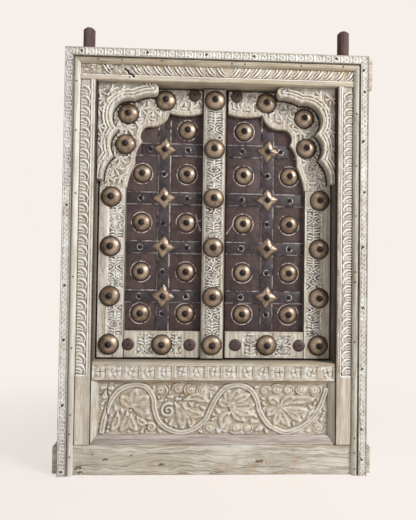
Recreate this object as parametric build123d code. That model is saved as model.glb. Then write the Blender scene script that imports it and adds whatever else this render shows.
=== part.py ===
"""Carved wooden window: a carved frame with a cusped opening, closed by two shutter leaves.

Each leaf hangs on a wooden pivot stile whose pegs turn in the head and the mid rail, and opens backwards.
Millimetres. +Z is up, the carved front faces -Y, and the origin is at the middle of the foot.
"""

import math
import os

from build123d import *

# Frame
frame_width = 690.0
frame_height = 955.0
overall_depth = 98.0
sill_height = 68.0
apron_height = 142.0
mid_rail_height = 40.0
sill_horn = 15.0
sill_horn_height = 60.0
head_horn = 15.0
horn_setback = 10.0
jamb_depth = 48.0
rear_rebate = 8.0
ear_overlap = 55.0
tenon_length = 22.0
tenon_thickness = 16.0
tenon_inset = 12.0

# Mouldings round the outside of the frame
strip_width = 19.0
strip_thickness = 10.0
bead_width = 15.0
bead_height_share = 0.46
leaf_band_width = 25.0
fillet_width = 11.0
left_upper_strip_length = 310.0
left_lower_strip_length = 123.0
top_left_strip_length = 159.0

# Running leaf carved on the jambs and the head
running_leaf_pitch = 25.0
running_leaf_relief = 3.5
running_leaf_shares = [(0.02, 0.28), (0.48, 0.06), (0.90, 0.22), (1.02, 0.92), (0.62, 0.46)]

# Roundels carved on the mid rail
roundel_count = 16
roundel_pocket = 25.0
roundel_radius = 11.5
roundel_depth = 3.0
roundel_sides = 8

# Carved apron panel and its mouldings
apron_board_setback = 16.0
apron_board_thickness = 16.0
apron_relief = 6.0
apron_side_moulding = 14.0
apron_bottom_moulding_height = 18.0
apron_top_moulding_height = 7.0
apron_moulding_lip = 5.0
vine_width = 8.0
vine_bends = 4
petal_count = 5
petal_length_share = 0.30
petal_breadth_share = 0.19
petal_root_share = 0.11
petal_shares = [(0.0, 0.0), (0.45, 0.5), (0.85, 0.38), (1.0, 0.0), (0.85, -0.38), (0.45, -0.5)]
palmette_share = 0.46
palmette_drop_share = 0.06
palmette_spread = 250.0

# Cusped spandrels at the top corners of the opening
crown_half_width = 137.0
spandrel_height = 223.0
spandrel_setback = 9.0
spandrel_thickness = 25.0
spandrel_nose_shares = [(0.935, 0.0), (1.0, 0.055), (0.935, 0.112)]
spandrel_neck_shares = [(0.935, 0.112), (0.74, 0.125), (0.594, 0.165)]
spandrel_upper_lobe_shares = [(0.594, 0.165), (0.275, 0.245), (0.333, 0.480)]
spandrel_lower_lobe_shares = [(0.333, 0.480), (0.210, 0.610), (0.268, 0.749)]
spandrel_foot_shares = [(0.268, 0.749), (0.138, 0.857), (0.101, 1.0)]

# Shutter leaves
leaf_side_gap = 3.0
leaf_top_gap = 3.0
leaf_bottom_gap = 4.0
leaf_lap = 4.0
stop_gap = 0.5
meeting_gap = 3.5
board_thickness = 18.0
carved_thickness = 11.5
carved_stile_width = 63.0
bottom_rail_height = 62.0
batten_width = 54.0
batten_thickness = 17.5
batten_off_middle = 6.0
arch_rail_height = 234.0
ledge_height = 58.0
ledge_thickness = 18.0
ledge_end_gap = 8.0
ledge_end_share = 0.11

# Scalloped inner edge of the arch rails, from the meeting edge out and from the top down
arch_crown_shares = [(1.0, 0.231), (0.777, 0.262), (0.553, 0.239)]
arch_shoulder_shares = [(0.553, 0.239), (0.475, 0.338), (0.318, 0.380)]
arch_upper_lobe_shares = [(0.318, 0.380), (0.180, 0.440), (0.196, 0.534)]
arch_lower_lobe_shares = [(0.196, 0.534), (0.125, 0.625), (0.106, 0.752)]
arch_foot_shares = [(0.106, 0.752), (0.045, 0.860), (0.0, 1.0)]

# Pivots
pivot_from_opening = 31.0
stile_thickness = 30.0
stile_inner_width = 18.0
upper_peg_radius = 14.0
lower_peg_radius = 11.0
peg_clearance = 0.4
left_peg_rise = 75.0
right_peg_rise = 87.0
peg_tip_chamfer = 5.0
socket_depth = 22.0

# Iron straps on the leaves
strap_width = 28.0
strap_thickness = 2.5
strap_row_pitch = 115.0
top_strap_drop = 141.0
upright_off_middle = 4.0
top_strap_end_share = 0.20
upright_top_share = 0.40

# Brass bosses, flowers and iron nails
boss_radius = 23.0
stile_boss_off_middle = 3.5
cell_boss_radius = 21.0
boss_height = 11.0
boss_rise = 7.0
boss_shoulder_share = 0.70
boss_crown_radius = 8.0
boss_sides = 11
boss_nail_radius = 7.0
boss_nail_height = 5.0
boss_nail_sides = 6
strap_nail_radius = 5.0
strap_nail_height = 3.0
strap_nail_sides = 4
disc_radius = 12.5
disc_thickness = 3.0
disc_sides = 12
flower_span = 48.0
flower_height = 5.0
flower_notch_share = 0.60
flower_crown_share = 0.42
arch_boss_shares = [(0.632, 0.12), (0.269, 0.265), (0.246, 0.568)]
arch_disc_share = (0.885, 0.06)
batten_top_boss_share = 0.115
rail_disc_shares = (0.07, 0.94)
cell_boss_share = 0.52
top_cell_boss_share = 0.50
strap_nail_share = 0.62

# Heights worked out from the frame
mid_rail_bottom = sill_height + apron_height
mid_rail_top = mid_rail_bottom + mid_rail_height
border_width = strip_width + bead_width + leaf_band_width + fillet_width
head_bottom = frame_height - border_width
half_frame = frame_width / 2
half_opening = half_frame - border_width
spandrel_width = half_opening - crown_half_width

# Depths worked out from the front
front_y = -overall_depth / 2
rear_y = overall_depth / 2
face_y = front_y + strip_thickness
stop_y = face_y + jamb_depth
board_y = stop_y + stop_gap
board_back_y = board_y + board_thickness
carved_y = board_y - carved_thickness
batten_y = board_y - batten_thickness
strap_y = board_y - strap_thickness
pivot_y = board_y + stile_thickness / 2

# Places on the leaves
pivot_x = half_opening + pivot_from_opening
stile_edge_x = pivot_x - stile_inner_width
leaf_edge_x = half_opening - leaf_side_gap
panel_edge_x = leaf_edge_x - carved_stile_width
batten_left_x = -batten_off_middle - batten_width / 2
batten_right_x = batten_width / 2 - batten_off_middle
right_meeting_x = batten_right_x + meeting_gap
carved_bottom = mid_rail_top + leaf_bottom_gap
carved_top = head_bottom - leaf_top_gap
arch_bottom = carved_top - arch_rail_height
board_bottom = mid_rail_top - leaf_lap
board_top = head_bottom + leaf_lap
panel_bottom = carved_bottom + bottom_rail_height
upright_x = (panel_edge_x + batten_width / 2) / 2 + upright_off_middle
top_strap_z = carved_top - top_strap_drop
strap_rows = round((top_strap_z - panel_bottom) / strap_row_pitch)
strap_centres = [top_strap_z - row * strap_row_pitch for row in reversed(range(strap_rows))]
rail_centre_z = carved_bottom + bottom_rail_height / 2
stile_boss_x = panel_edge_x + carved_stile_width / 2 + stile_boss_off_middle


def block(x_span, y_span, z_span):
    """A rectangular piece between three pairs of limits."""
    spans = (x_span, y_span, z_span)
    sizes = [abs(high - low) for low, high in spans]
    centre = [(low + high) / 2 for low, high in spans]
    return Pos(*centre) * Box(*sizes)


def front_plane(y):
    """The plane of a carved face at depth y: its x is X, its y is Z, and it faces the viewer."""
    return Plane(origin=(0, y, 0), x_dir=(1, 0, 0), z_dir=(0, -1, 0))


def slab(outline, back_y, thickness):
    """An outline drawn in X and Z, standing forward from back_y."""
    return extrude(front_plane(back_y) * outline, amount=thickness)


def polygon(points):
    """A closed face from the corners of an outline."""
    return make_face(Polyline(*points, close=True))


def group(solids):
    """Separate solids of one kind that share a node."""
    return Compound(children=list(solids))


def half_space_cut(piece, corner, direction, keep):
    """Cuts a moulding at a mitre through corner, in the plane that holds Y and the given X, Z direction."""
    x, z = corner
    along_x, along_z = direction
    plane = Plane(origin=(x, 0, z), x_dir=(along_x, 0, along_z), z_dir=(-along_z, 0, along_x))
    return split(piece, bisect_by=plane, keep=keep)


# Frame members


def running_leaf(along, band_start, side, direction):
    """One leaf of the running ornament: corners as shares of the pitch and of the band, along an axis."""
    points = []
    for pitch_share, band_share in running_leaf_shares:
        run = along + direction * pitch_share * running_leaf_pitch
        points.append((run, band_start + side * band_share * leaf_band_width))
    return points


def jamb(side):
    """A jamb with tenons for the head and the sill, and the running leaf on its inner face."""
    outer_x = side * half_frame
    inner_x = side * half_opening
    body = block((inner_x, outer_x), (face_y, stop_y), (sill_height, head_bottom))
    tenon_x = (inner_x + side * tenon_inset, outer_x - side * tenon_inset)
    tenon_y = (stop_y - tenon_inset - tenon_thickness, stop_y - tenon_inset)
    body += block(tenon_x, tenon_y, (sill_height - tenon_length, head_bottom + tenon_length))
    band_x = side * (half_opening + fillet_width)
    count = int((head_bottom - mid_rail_bottom) // running_leaf_pitch)
    leaves = []
    for number in range(count):
        points = running_leaf(head_bottom - number * running_leaf_pitch, band_x, side, -1)
        outline = polygon([(x, z) for z, x in points])
        leaves.append(slab(outline, face_y, running_leaf_relief))
    return body + leaves


def jamb_mortise(side):
    """The hole in the head and in the sill that takes a jamb's tenon."""
    tenon_x = (side * (half_opening + tenon_inset), side * (half_frame - tenon_inset))
    tenon_y = (stop_y - tenon_inset - tenon_thickness, stop_y - tenon_inset)
    return block(tenon_x, tenon_y, (sill_height - tenon_length, head_bottom + tenon_length))


def head():
    """The head: carved in front, rebated behind for the leaves, bored for both upper pegs."""
    body = block((-half_frame, half_frame), (face_y, rear_y), (head_bottom, frame_height))
    horn_x = (half_frame, half_frame + head_horn)
    body += block(horn_x, (face_y + horn_setback, rear_y), (head_bottom, frame_height))
    rebate_end = pivot_x + stile_thickness
    body -= block((-rebate_end, rebate_end), (stop_y, rear_y), (head_bottom, head_bottom + rear_rebate))
    for side in (-1, 1):
        body -= jamb_mortise(side)
        bore = Cylinder(upper_peg_radius + peg_clearance, frame_height)
        body -= Pos(side * pivot_x, pivot_y, frame_height) * bore
    band_z = head_bottom + fillet_width
    count = int((half_opening + leaf_band_width) // running_leaf_pitch)
    leaves = []
    for side in (-1, 1):
        for number in range(count):
            start = side * (half_opening + leaf_band_width - number * running_leaf_pitch)
            outline = polygon(running_leaf(start, band_z, 1, -side))
            leaves.append(slab(outline, face_y, running_leaf_relief))
    return body + leaves


def sill():
    """The plain sill, with horns past both edges of the frame."""
    end = half_frame + sill_horn
    body = block((-half_frame, half_frame), (face_y, rear_y), (0, sill_height))
    body += block((-end, end), (face_y + horn_setback, rear_y), (0, sill_horn_height))
    for side in (-1, 1):
        body -= jamb_mortise(side)
    return body


def mid_rail():
    """The mid rail: roundels in front, a rebate behind, and an ear behind each jamb with the lower socket."""
    body = block((-half_opening, half_opening), (face_y, rear_y), (mid_rail_bottom, mid_rail_top))
    ear_end = half_opening + ear_overlap
    body -= block((-ear_end, ear_end), (stop_y, rear_y), (mid_rail_top - rear_rebate, mid_rail_top))
    ear_top = mid_rail_top - rear_rebate
    body += block((-ear_end, ear_end), (stop_y, rear_y), (mid_rail_bottom, ear_top))
    for side in (-1, 1):
        socket = Cylinder(lower_peg_radius + peg_clearance, socket_depth)
        body -= Pos(side * pivot_x, pivot_y, ear_top - socket_depth / 2) * socket
    pitch = 2 * half_opening / roundel_count
    centre_z = mid_rail_bottom + mid_rail_height / 2
    half_pocket = roundel_pocket / 2
    floor_y = face_y + roundel_depth
    pockets = []
    roundels = []
    for number in range(roundel_count):
        x = -half_opening + (number + 1 / 2) * pitch
        x_span = (x - half_pocket, x + half_pocket)
        pockets.append(block(x_span, (face_y, floor_y), (centre_z - half_pocket, centre_z + half_pocket)))
        disc = Pos(x, centre_z) * RegularPolygon(roundel_radius, roundel_sides)
        roundels.append(slab(disc, floor_y, roundel_depth))
    return body - pockets + roundels


# Apron


def carved_field():
    """The sunk field of the apron inside its mouldings: its width, its height and its centre's height."""
    width = 2 * (half_opening - apron_side_moulding)
    height = apron_height - apron_bottom_moulding_height - apron_top_moulding_height
    return width, height, sill_height + apron_bottom_moulding_height + height / 2


def vine():
    """The wavy stem across the apron, one arc for each bend."""
    width, height, middle_z = carved_field()
    bend = width / vine_bends
    swing = height / 2 - vine_width
    arcs = []
    for number in range(vine_bends):
        up = 1 if number % 2 == 0 else -1
        start_x = -width / 2 + number * bend
        start = (start_x + vine_width, middle_z)
        crest = (start_x + bend / 2, middle_z + up * swing)
        end = (start_x + bend - vine_width, middle_z)
        arcs.append(ThreePointArc(start, crest, end))
    return arcs


def palmettes():
    """A fan of petals in every bend of the vine, springing from the side of the bend."""
    width, height, middle_z = carved_field()
    bend = width / vine_bends
    length = height * petal_length_share
    breadth = height * petal_breadth_share
    root = height * petal_root_share
    outline = polygon([(root + along * length, across * breadth) for along, across in petal_shares])
    fans = []
    for number in range(vine_bends):
        up = 1 if number % 2 == 0 else -1
        x = -width / 2 + (number + palmette_share) * bend
        centre = Pos(x, middle_z - up * height * palmette_drop_share)
        for petal in range(petal_count):
            turn = (petal / (petal_count - 1) - 1 / 2) * palmette_spread
            fans.append(centre * Rotation(0, 0, turn) * outline)
    return fans


def apron_panel():
    """The apron board, carved with a vine and its palmettes."""
    board_front = face_y + apron_board_setback
    board = block(
        (-half_opening, half_opening),
        (board_front, board_front + apron_board_thickness),
        (sill_height, mid_rail_bottom),
    )
    carving = [slab(trace(arc, line_width=vine_width), board_front, apron_relief) for arc in vine()]
    carving += [slab(petal, board_front, apron_relief) for petal in palmettes()]
    return board + carving


def moulding_section(width, thickness, lip):
    """A bevelled moulding seen end on: full thickness at its outer edge, down to a lip at its inner edge."""
    return [(0, 0), (width, 0), (width, lip), (0, thickness)]


def apron_side(side):
    """The upright bevelled moulding between the apron panel and a jamb, mitred at its foot."""
    section = []
    for along, up in moulding_section(apron_side_moulding, apron_board_setback, apron_moulding_lip):
        section.append((side * (half_opening - along), face_y + apron_board_setback - up))
    length = apron_height
    piece = Pos(0, 0, sill_height) * extrude(polygon(section), amount=length, dir=(0, 0, 1))
    corner = (side * half_opening, sill_height)
    inner = (-side * apron_side_moulding, apron_bottom_moulding_height)
    keep = Keep.TOP if side < 0 else Keep.BOTTOM
    return half_space_cut(piece, corner, inner, keep)


def apron_bottom():
    """The level bevelled moulding under the apron panel, mitred at both ends."""
    thickness = apron_board_setback
    section = []
    for along, up in moulding_section(apron_bottom_moulding_height, thickness, apron_moulding_lip):
        section.append((face_y + apron_board_setback - up, sill_height + along))
    plane = Plane(origin=(-half_opening, 0, 0), x_dir=(0, 1, 0), z_dir=(1, 0, 0))
    piece = extrude(plane * polygon(section), amount=2 * half_opening)
    for side in (-1, 1):
        corner = (side * half_opening, sill_height)
        inner = (-side * apron_side_moulding, apron_bottom_moulding_height)
        keep = Keep.BOTTOM if side < 0 else Keep.TOP
        piece = half_space_cut(piece, corner, inner, keep)
    return piece


def apron_top():
    """The thin bead between the apron panel and the mid rail."""
    end = half_opening - apron_side_moulding
    board_front = face_y + apron_board_setback
    low = mid_rail_bottom - apron_top_moulding_height
    return block((-end, end), (board_front - apron_moulding_lip, board_front), (low, mid_rail_bottom))


# Mouldings round the frame


def bead_section(centre, across):
    """A low half-round bead, standing forward from the frame's face."""
    start = (centre - across / 2, face_y)
    crest = (centre, face_y - across * bead_height_share)
    end = (centre + across / 2, face_y)
    return make_face([ThreePointArc(start, crest, end), Line(end, start)])


def side_bead(side):
    """An upright bead, mitred at the top."""
    outer = half_frame - strip_width
    top = frame_height - strip_width
    section = bead_section(side * (outer - bead_width / 2), bead_width)
    piece = extrude(section, amount=top, dir=(0, 0, 1))
    keep = Keep.BOTTOM if side < 0 else Keep.TOP
    return half_space_cut(piece, (side * outer, top), (-side, -1), keep)


def top_bead():
    """The level bead, mitred at both ends."""
    outer = half_frame - strip_width
    top = frame_height - strip_width
    section = bead_section(0, bead_width)
    plane = Plane(origin=(-outer, 0, top - bead_width / 2), x_dir=(0, 0, -1), z_dir=(1, 0, 0))
    piece = extrude(plane * section, amount=2 * outer)
    for side in (-1, 1):
        keep = Keep.TOP if side < 0 else Keep.BOTTOM
        piece = half_space_cut(piece, (side * outer, top), (-side, -1), keep)
    return piece


def side_strip(side, low, high):
    """A length of the carved strip on an upright edge, mitred where it reaches the top."""
    inner = half_frame - strip_width
    piece = block((side * inner, side * half_frame), (front_y, face_y), (low, high))
    if high < frame_height:
        return piece
    keep = Keep.BOTTOM if side < 0 else Keep.TOP
    return half_space_cut(piece, (side * half_frame, frame_height), (-side, -1), keep)


def top_strip(side, inner_end):
    """A length of the carved strip along the top edge, mitred at the corner."""
    low = frame_height - strip_width
    piece = block((side * half_frame, inner_end), (front_y, face_y), (low, frame_height))
    keep = Keep.TOP if side < 0 else Keep.BOTTOM
    return half_space_cut(piece, (side * half_frame, frame_height), (-side, -1), keep)


def spandrel(side):
    """A cusped bracket in a top corner of the opening."""

    def place(share):
        across, down = share
        return (side * (half_opening - across * spandrel_width), head_bottom - down * spandrel_height)

    lobes = (
        spandrel_nose_shares,
        spandrel_neck_shares,
        spandrel_upper_lobe_shares,
        spandrel_lower_lobe_shares,
        spandrel_foot_shares,
    )
    edges = [ThreePointArc(*[place(share) for share in lobe]) for lobe in lobes]
    foot = place(spandrel_foot_shares[-1])
    corner = (side * half_opening, head_bottom)
    outer_foot = (side * half_opening, head_bottom - spandrel_height)
    nose = place(spandrel_nose_shares[0])
    edges.append(Polyline(foot, outer_foot, corner, nose))
    back_y = face_y + spandrel_setback + spandrel_thickness
    return slab(make_face(edges), back_y, spandrel_thickness)


# Leaves


def pivot_stile(side, peg_rise):
    """The round-backed stile that a leaf hangs on, with a long upper peg and a short lower one."""
    radius = stile_thickness / 2
    axis_x = side * pivot_x
    front = (axis_x, pivot_y - radius)
    back = (axis_x, pivot_y + radius)
    inner = side * stile_edge_x
    rounded = ThreePointArc(front, (axis_x + side * radius, pivot_y), back)
    flat = Polyline(back, (inner, pivot_y + radius), (inner, pivot_y - radius), front)
    height = board_top - board_bottom
    body = Pos(0, 0, board_bottom) * extrude(make_face([rounded, flat]), amount=height, dir=(0, 0, 1))
    peg_top = frame_height + peg_rise
    upper = Cylinder(upper_peg_radius, peg_top - board_top)
    upper = chamfer(upper.edges().group_by(Axis.Z)[-1], length=peg_tip_chamfer)
    body += Pos(axis_x, pivot_y, (board_top + peg_top) / 2) * upper
    socket_floor = mid_rail_top - rear_rebate - socket_depth
    lower = Cylinder(lower_peg_radius, board_bottom - socket_floor)
    body += Pos(axis_x, pivot_y, (board_bottom + socket_floor) / 2) * lower
    return body


def meeting_x(side):
    """Where a leaf meets the other one."""
    return batten_right_x if side < 0 else right_meeting_x


def outer_board(side):
    """The plank next to the pivot stile."""
    return block((side * stile_edge_x, side * upright_x), (board_y, board_back_y), (board_bottom, board_top))


def inner_board(side):
    """The plank next to the meeting line."""
    return block((side * upright_x, meeting_x(side)), (board_y, board_back_y), (board_bottom, board_top))


def ledge(side, centre_z):
    """A level batten across the back of the planks, butted to the pivot stile."""
    inner = meeting_x(side) - ledge_end_gap if side < 0 else meeting_x(side) + ledge_end_gap
    y_span = (board_back_y, board_back_y + ledge_thickness)
    z_span = (centre_z - ledge_height / 2, centre_z + ledge_height / 2)
    return block((side * stile_edge_x, inner), y_span, z_span)


def carved_stile(side):
    """The carved strip up the hanging side of a leaf, from its foot to the arch."""
    return block((side * leaf_edge_x, side * panel_edge_x), (carved_y, board_y), (carved_bottom, arch_bottom))


def inner_edge_x(side):
    """Where the arch rail and the bottom rail of a leaf end: at the batten, or at the meeting line."""
    return batten_left_x if side < 0 else right_meeting_x


def arch_place(side, share):
    """A point on an arch rail, from shares of the panel's width outwards and of the rail's height down."""
    across, down = share
    span = side * panel_edge_x - inner_edge_x(side)
    return (side * panel_edge_x - across * span, carved_top - down * arch_rail_height)


def arch_rail(side):
    """The carved top of a leaf, with its scalloped inner edge."""
    lobes = (
        arch_crown_shares,
        arch_shoulder_shares,
        arch_upper_lobe_shares,
        arch_lower_lobe_shares,
        arch_foot_shares,
    )
    edges = [ThreePointArc(*[arch_place(side, share) for share in lobe]) for lobe in lobes]
    foot = arch_place(side, arch_foot_shares[-1])
    crown = arch_place(side, arch_crown_shares[0])
    outer_foot = (side * leaf_edge_x, arch_bottom)
    outer_top = (side * leaf_edge_x, carved_top)
    inner_top = (inner_edge_x(side), carved_top)
    edges.append(Polyline(foot, outer_foot, outer_top, inner_top, crown))
    return slab(make_face(edges), board_y, carved_thickness)


def bottom_rail(side):
    """The carved strip along the foot of a leaf."""
    z_span = (carved_bottom, panel_bottom)
    return block((side * panel_edge_x, inner_edge_x(side)), (carved_y, board_y), z_span)


def meeting_batten():
    """The raised batten down the meeting edge of the left leaf."""
    return block((batten_left_x, batten_right_x), (batten_y, board_y), (carved_bottom, carved_top))


def cross_straps(side):
    """The level iron straps of a leaf; the top one stops at the arch."""
    straps = []
    for row, centre_z in enumerate(strap_centres):
        end = side * panel_edge_x
        if row == strap_rows - 1:
            end, _ = arch_place(side, (top_strap_end_share, 0))
        z_span = (centre_z - strap_width / 2, centre_z + strap_width / 2)
        straps.append(block((end, inner_edge_x(side)), (strap_y, board_y), z_span))
    return group(straps)


def upright_straps(side):
    """The short upright iron straps between the level ones, over the seam of the planks."""
    _, top = arch_place(side, (0, upright_top_share))
    lows = [panel_bottom] + [z + strap_width / 2 for z in strap_centres]
    highs = [z - strap_width / 2 for z in strap_centres] + [top]
    x_span = (side * upright_x - strap_width / 2, side * upright_x + strap_width / 2)
    return group(block(x_span, (strap_y, board_y), span) for span in zip(lows, highs))


# Bosses, flowers and nails


def frame_boss_places(side):
    """Where the large bosses sit on a leaf's carved pieces: X, Z and the depth of the face."""
    places = [(side * stile_boss_x, z, carved_y) for z in strap_centres[:-1]]
    places.append((side * stile_boss_x, rail_centre_z, carved_y))
    places.append((side * upright_x, rail_centre_z, carved_y))
    for across, down in arch_boss_shares:
        span = side * leaf_edge_x - inner_edge_x(side)
        x = side * leaf_edge_x - across * span
        places.append((x, carved_top - down * arch_rail_height, carved_y))
    if side < 0:
        top_z = carved_top - batten_top_boss_share * arch_rail_height
        rows = [rail_centre_z] + strap_centres + [top_z]
        places += [(-batten_off_middle, z, batten_y) for z in rows]
    return places


def cell_boss_places(side):
    """Where the smaller bosses sit, in the cells between the straps."""
    cell_edges = [panel_bottom] + strap_centres
    rows = [(low + high) / 2 for low, high in zip(cell_edges, cell_edges[1:])]
    _, top_edge = arch_place(side, arch_crown_shares[1])
    top_low = strap_centres[-1] + strap_width / 2
    top_row = top_low + (top_edge - top_low) * top_cell_boss_share
    outer_near = side * (upright_x + strap_width / 2)
    inner_near = side * (upright_x - strap_width / 2)
    outer_x = outer_near + (side * panel_edge_x - outer_near) * cell_boss_share
    inner_x = inner_near + (inner_edge_x(side) - inner_near) * cell_boss_share
    places = [(x, z, board_y) for z in rows for x in (outer_x, inner_x)]
    places.append((inner_x, top_row, board_y))
    return places


def faceted(rings):
    """A closed solid with flat sides between rings of corners; the first and the last ring are its ends."""
    faces = [Face(Wire.make_polygon(ring)) for ring in (rings[0], rings[-1])]
    for low, high in zip(rings, rings[1:]):
        for corner in range(len(low)):
            after = (corner + 1) % len(low)
            faces.append(Face(Wire.make_polygon([low[corner], low[after], high[after], high[corner]])))
    return Solid(Shell(faces))


def ring(place, reaches):
    """Corners evenly round a place (X, Z and depth), each as far out as its reach."""
    x, z, y = place
    corners = []
    for number, reach in enumerate(reaches):
        angle = 2 * math.pi * number / len(reaches)
        corners.append((x + reach * math.cos(angle), y, z + reach * math.sin(angle)))
    return corners


def boss(place, radius):
    """A low hammered brass boss with a flat crown for its nail."""
    x, z, y = place
    steps = ((radius, 0), (radius * boss_shoulder_share, boss_rise), (boss_crown_radius, boss_height))
    return faceted([ring((x, z, y - rise), [reach] * boss_sides) for reach, rise in steps])


def nail(place, radius, height, sides):
    """A faceted iron nail head, standing forward from a face."""
    x, z, y = place
    base = Face(Wire.make_polygon(ring(place, [radius] * sides)))
    return loft([base, Vertex(x, y - height, z)], ruled=True)


def bosses(side):
    """Every brass boss of a leaf."""
    large = [boss(place, boss_radius) for place in frame_boss_places(side)]
    small = [boss(place, cell_boss_radius) for place in cell_boss_places(side)]
    return group(large + small)


def flower_places(side):
    """Where the brass flowers sit, on the crossings of the straps."""
    return [(side * upright_x, z, strap_y) for z in strap_centres]


def flowers(side):
    """The four-pointed brass flowers of a leaf, rising to a small crown of the same outline."""
    tip = flower_span / 2
    reaches = [tip, tip * flower_notch_share] * 4
    crown = [reach * flower_crown_share for reach in reaches]
    made = []
    for x, z, y in flower_places(side):
        made.append(faceted([ring((x, z, y), reaches), ring((x, z, y - flower_height), crown)]))
    return group(made)


def boss_nails(side):
    """The iron nails through the bosses and the flowers of a leaf."""
    places = [(x, z, y - boss_height) for x, z, y in frame_boss_places(side) + cell_boss_places(side)]
    places += [(x, z, y - flower_height) for x, z, y in flower_places(side)]
    return group(nail(place, boss_nail_radius, boss_nail_height, boss_nail_sides) for place in places)


def strap_nails(side):
    """The rose-headed nails along the straps of a leaf."""
    places = []
    for row, z in enumerate(strap_centres):
        ends = [inner_edge_x(side), side * panel_edge_x]
        if row == strap_rows - 1:
            ends[1], _ = arch_place(side, (top_strap_end_share, 0))
        for end in ends:
            places.append((side * upright_x + (end - side * upright_x) * strap_nail_share, z, strap_y))
    lows = [panel_bottom] + strap_centres
    for low, high in zip(lows, strap_centres):
        places.append((side * upright_x, (low + high) / 2, strap_y))
    return group(nail(place, strap_nail_radius, strap_nail_height, strap_nail_sides) for place in places)


def iron_discs(side):
    """The flat iron discs on the rails of a leaf."""
    places = [arch_place(side, arch_disc_share)]
    near = inner_edge_x(side)
    for share in rail_disc_shares:
        inset = near + side * disc_radius
        places.append((inset + (side * panel_edge_x - inset) * share, rail_centre_z))
    disc = RegularPolygon(disc_radius, disc_sides)
    return group(slab(Pos(x, z) * disc, carved_y, disc_thickness) for x, z in places)


def leaf(name, side, peg_rise):
    """Every piece of one leaf, by node name."""
    reach = board_top - board_bottom
    low_ledge = board_bottom + reach * ledge_end_share
    high_ledge = board_top - reach * ledge_end_share
    pieces = {
        "pivot_stile": pivot_stile(side, peg_rise),
        "outer_board": outer_board(side),
        "inner_board": inner_board(side),
        "bottom_ledge": ledge(side, low_ledge),
        "middle_ledge": ledge(side, (low_ledge + high_ledge) / 2),
        "top_ledge": ledge(side, high_ledge),
        "carved_stile": carved_stile(side),
        "arch_rail": arch_rail(side),
        "bottom_rail": bottom_rail(side),
        "cross_straps": cross_straps(side),
        "upright_straps": upright_straps(side),
        "bosses": bosses(side),
        "boss_nails": boss_nails(side),
        "flowers": flowers(side),
        "strap_nails": strap_nails(side),
        "iron_discs": iron_discs(side),
    }
    return {f"{name}_{piece}": shape for piece, shape in pieces.items()}


left_middle_top = frame_height - left_upper_strip_length
top_joint_x = -half_frame + top_left_strip_length

nodes = {
    "head": head(),
    "left_jamb": jamb(-1),
    "right_jamb": jamb(1),
    "sill": sill(),
    "mid_rail": mid_rail(),
    "apron_panel": apron_panel(),
    "apron_left_moulding": apron_side(-1),
    "apron_right_moulding": apron_side(1),
    "apron_bottom_moulding": apron_bottom(),
    "apron_top_moulding": apron_top(),
    "left_bead": side_bead(-1),
    "top_bead": top_bead(),
    "right_bead": side_bead(1),
    "left_upper_strip": side_strip(-1, left_middle_top, frame_height),
    "left_middle_strip": side_strip(-1, left_lower_strip_length, left_middle_top),
    "left_lower_strip": side_strip(-1, 0, left_lower_strip_length),
    "top_left_strip": top_strip(-1, top_joint_x),
    "top_right_strip": top_strip(1, top_joint_x),
    "right_strip": side_strip(1, 0, frame_height),
    "left_spandrel": spandrel(-1),
    "right_spandrel": spandrel(1),
    "meeting_batten": meeting_batten(),
}
nodes.update(leaf("left", -1, left_peg_rise))
nodes.update(leaf("right", 1, right_peg_rise))

os.makedirs("parts", exist_ok=True)
for node, shape in nodes.items():
    export_step(shape, os.path.join("parts", node + ".step"))
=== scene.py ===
import math

import bmesh
import bpy
import numpy as np
from mathutils import Matrix, Vector, geometry


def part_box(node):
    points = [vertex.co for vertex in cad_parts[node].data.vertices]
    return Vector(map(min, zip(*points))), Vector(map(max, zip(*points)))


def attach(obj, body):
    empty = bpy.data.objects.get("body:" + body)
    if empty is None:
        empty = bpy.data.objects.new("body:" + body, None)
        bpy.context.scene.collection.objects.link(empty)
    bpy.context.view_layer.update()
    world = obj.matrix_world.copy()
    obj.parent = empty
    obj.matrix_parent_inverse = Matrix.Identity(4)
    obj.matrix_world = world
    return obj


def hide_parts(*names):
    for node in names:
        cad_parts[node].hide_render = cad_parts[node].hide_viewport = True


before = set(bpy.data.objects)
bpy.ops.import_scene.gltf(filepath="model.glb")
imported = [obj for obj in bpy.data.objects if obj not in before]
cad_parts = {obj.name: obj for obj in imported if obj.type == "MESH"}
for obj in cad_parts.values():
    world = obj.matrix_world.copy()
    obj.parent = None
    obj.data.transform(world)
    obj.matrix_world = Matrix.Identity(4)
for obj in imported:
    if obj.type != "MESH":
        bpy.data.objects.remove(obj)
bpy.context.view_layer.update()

MM = 0.001

# Steps of the drawn carving and of the carved meshes, in millimetres
RELIEF_STEP = 0.6
GRID_STEP = 1.2

# Camera: where the photograph was taken from, in metres and degrees
CAMERA_PLACE = (-0.0680, -1.1669, 0.4555)
CAMERA_YAW, CAMERA_PITCH, CAMERA_ROLL = -2.511, 1.319, -0.816
CAMERA_LENS = 34.615

# Pale studio: colours of backdrop and floor, and how far the floor reaches, in metres
BACKDROP = (247, 239, 234)
FLOOR = (252, 245, 240)
FLOOR_REACH = 30.0

# Lamp to the right of the camera, in metres and watts, and the even fill
KEY_PLACE = (2.95, -2.4, 2.45)
KEY_AIM = (0.0, 0.0, 0.48)
KEY_SIZE = 1.25
KEY_POWER = 180.0
KEY_TINT = (1.0, 0.99, 0.98)
FILL_LEVEL = 0.4

# How far the carved strips have worn back from their full thickness, in millimetres
STRIP_WEAR = 1.0

# Depth of the carved grounds below the face, in millimetres
BAND_DEPTH = 3.6
CRESCENT_DEPTH = 3.8
RAIL_DEPTH = 3.0
STRIP_DEPTH = 2.4
PALMETTE_DEPTH = 2.6
APRON_DEPTH = 5.0

# How far the horns of head and sill stand back from the face, in millimetres
HORN_SETBACK = 10.0

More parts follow.
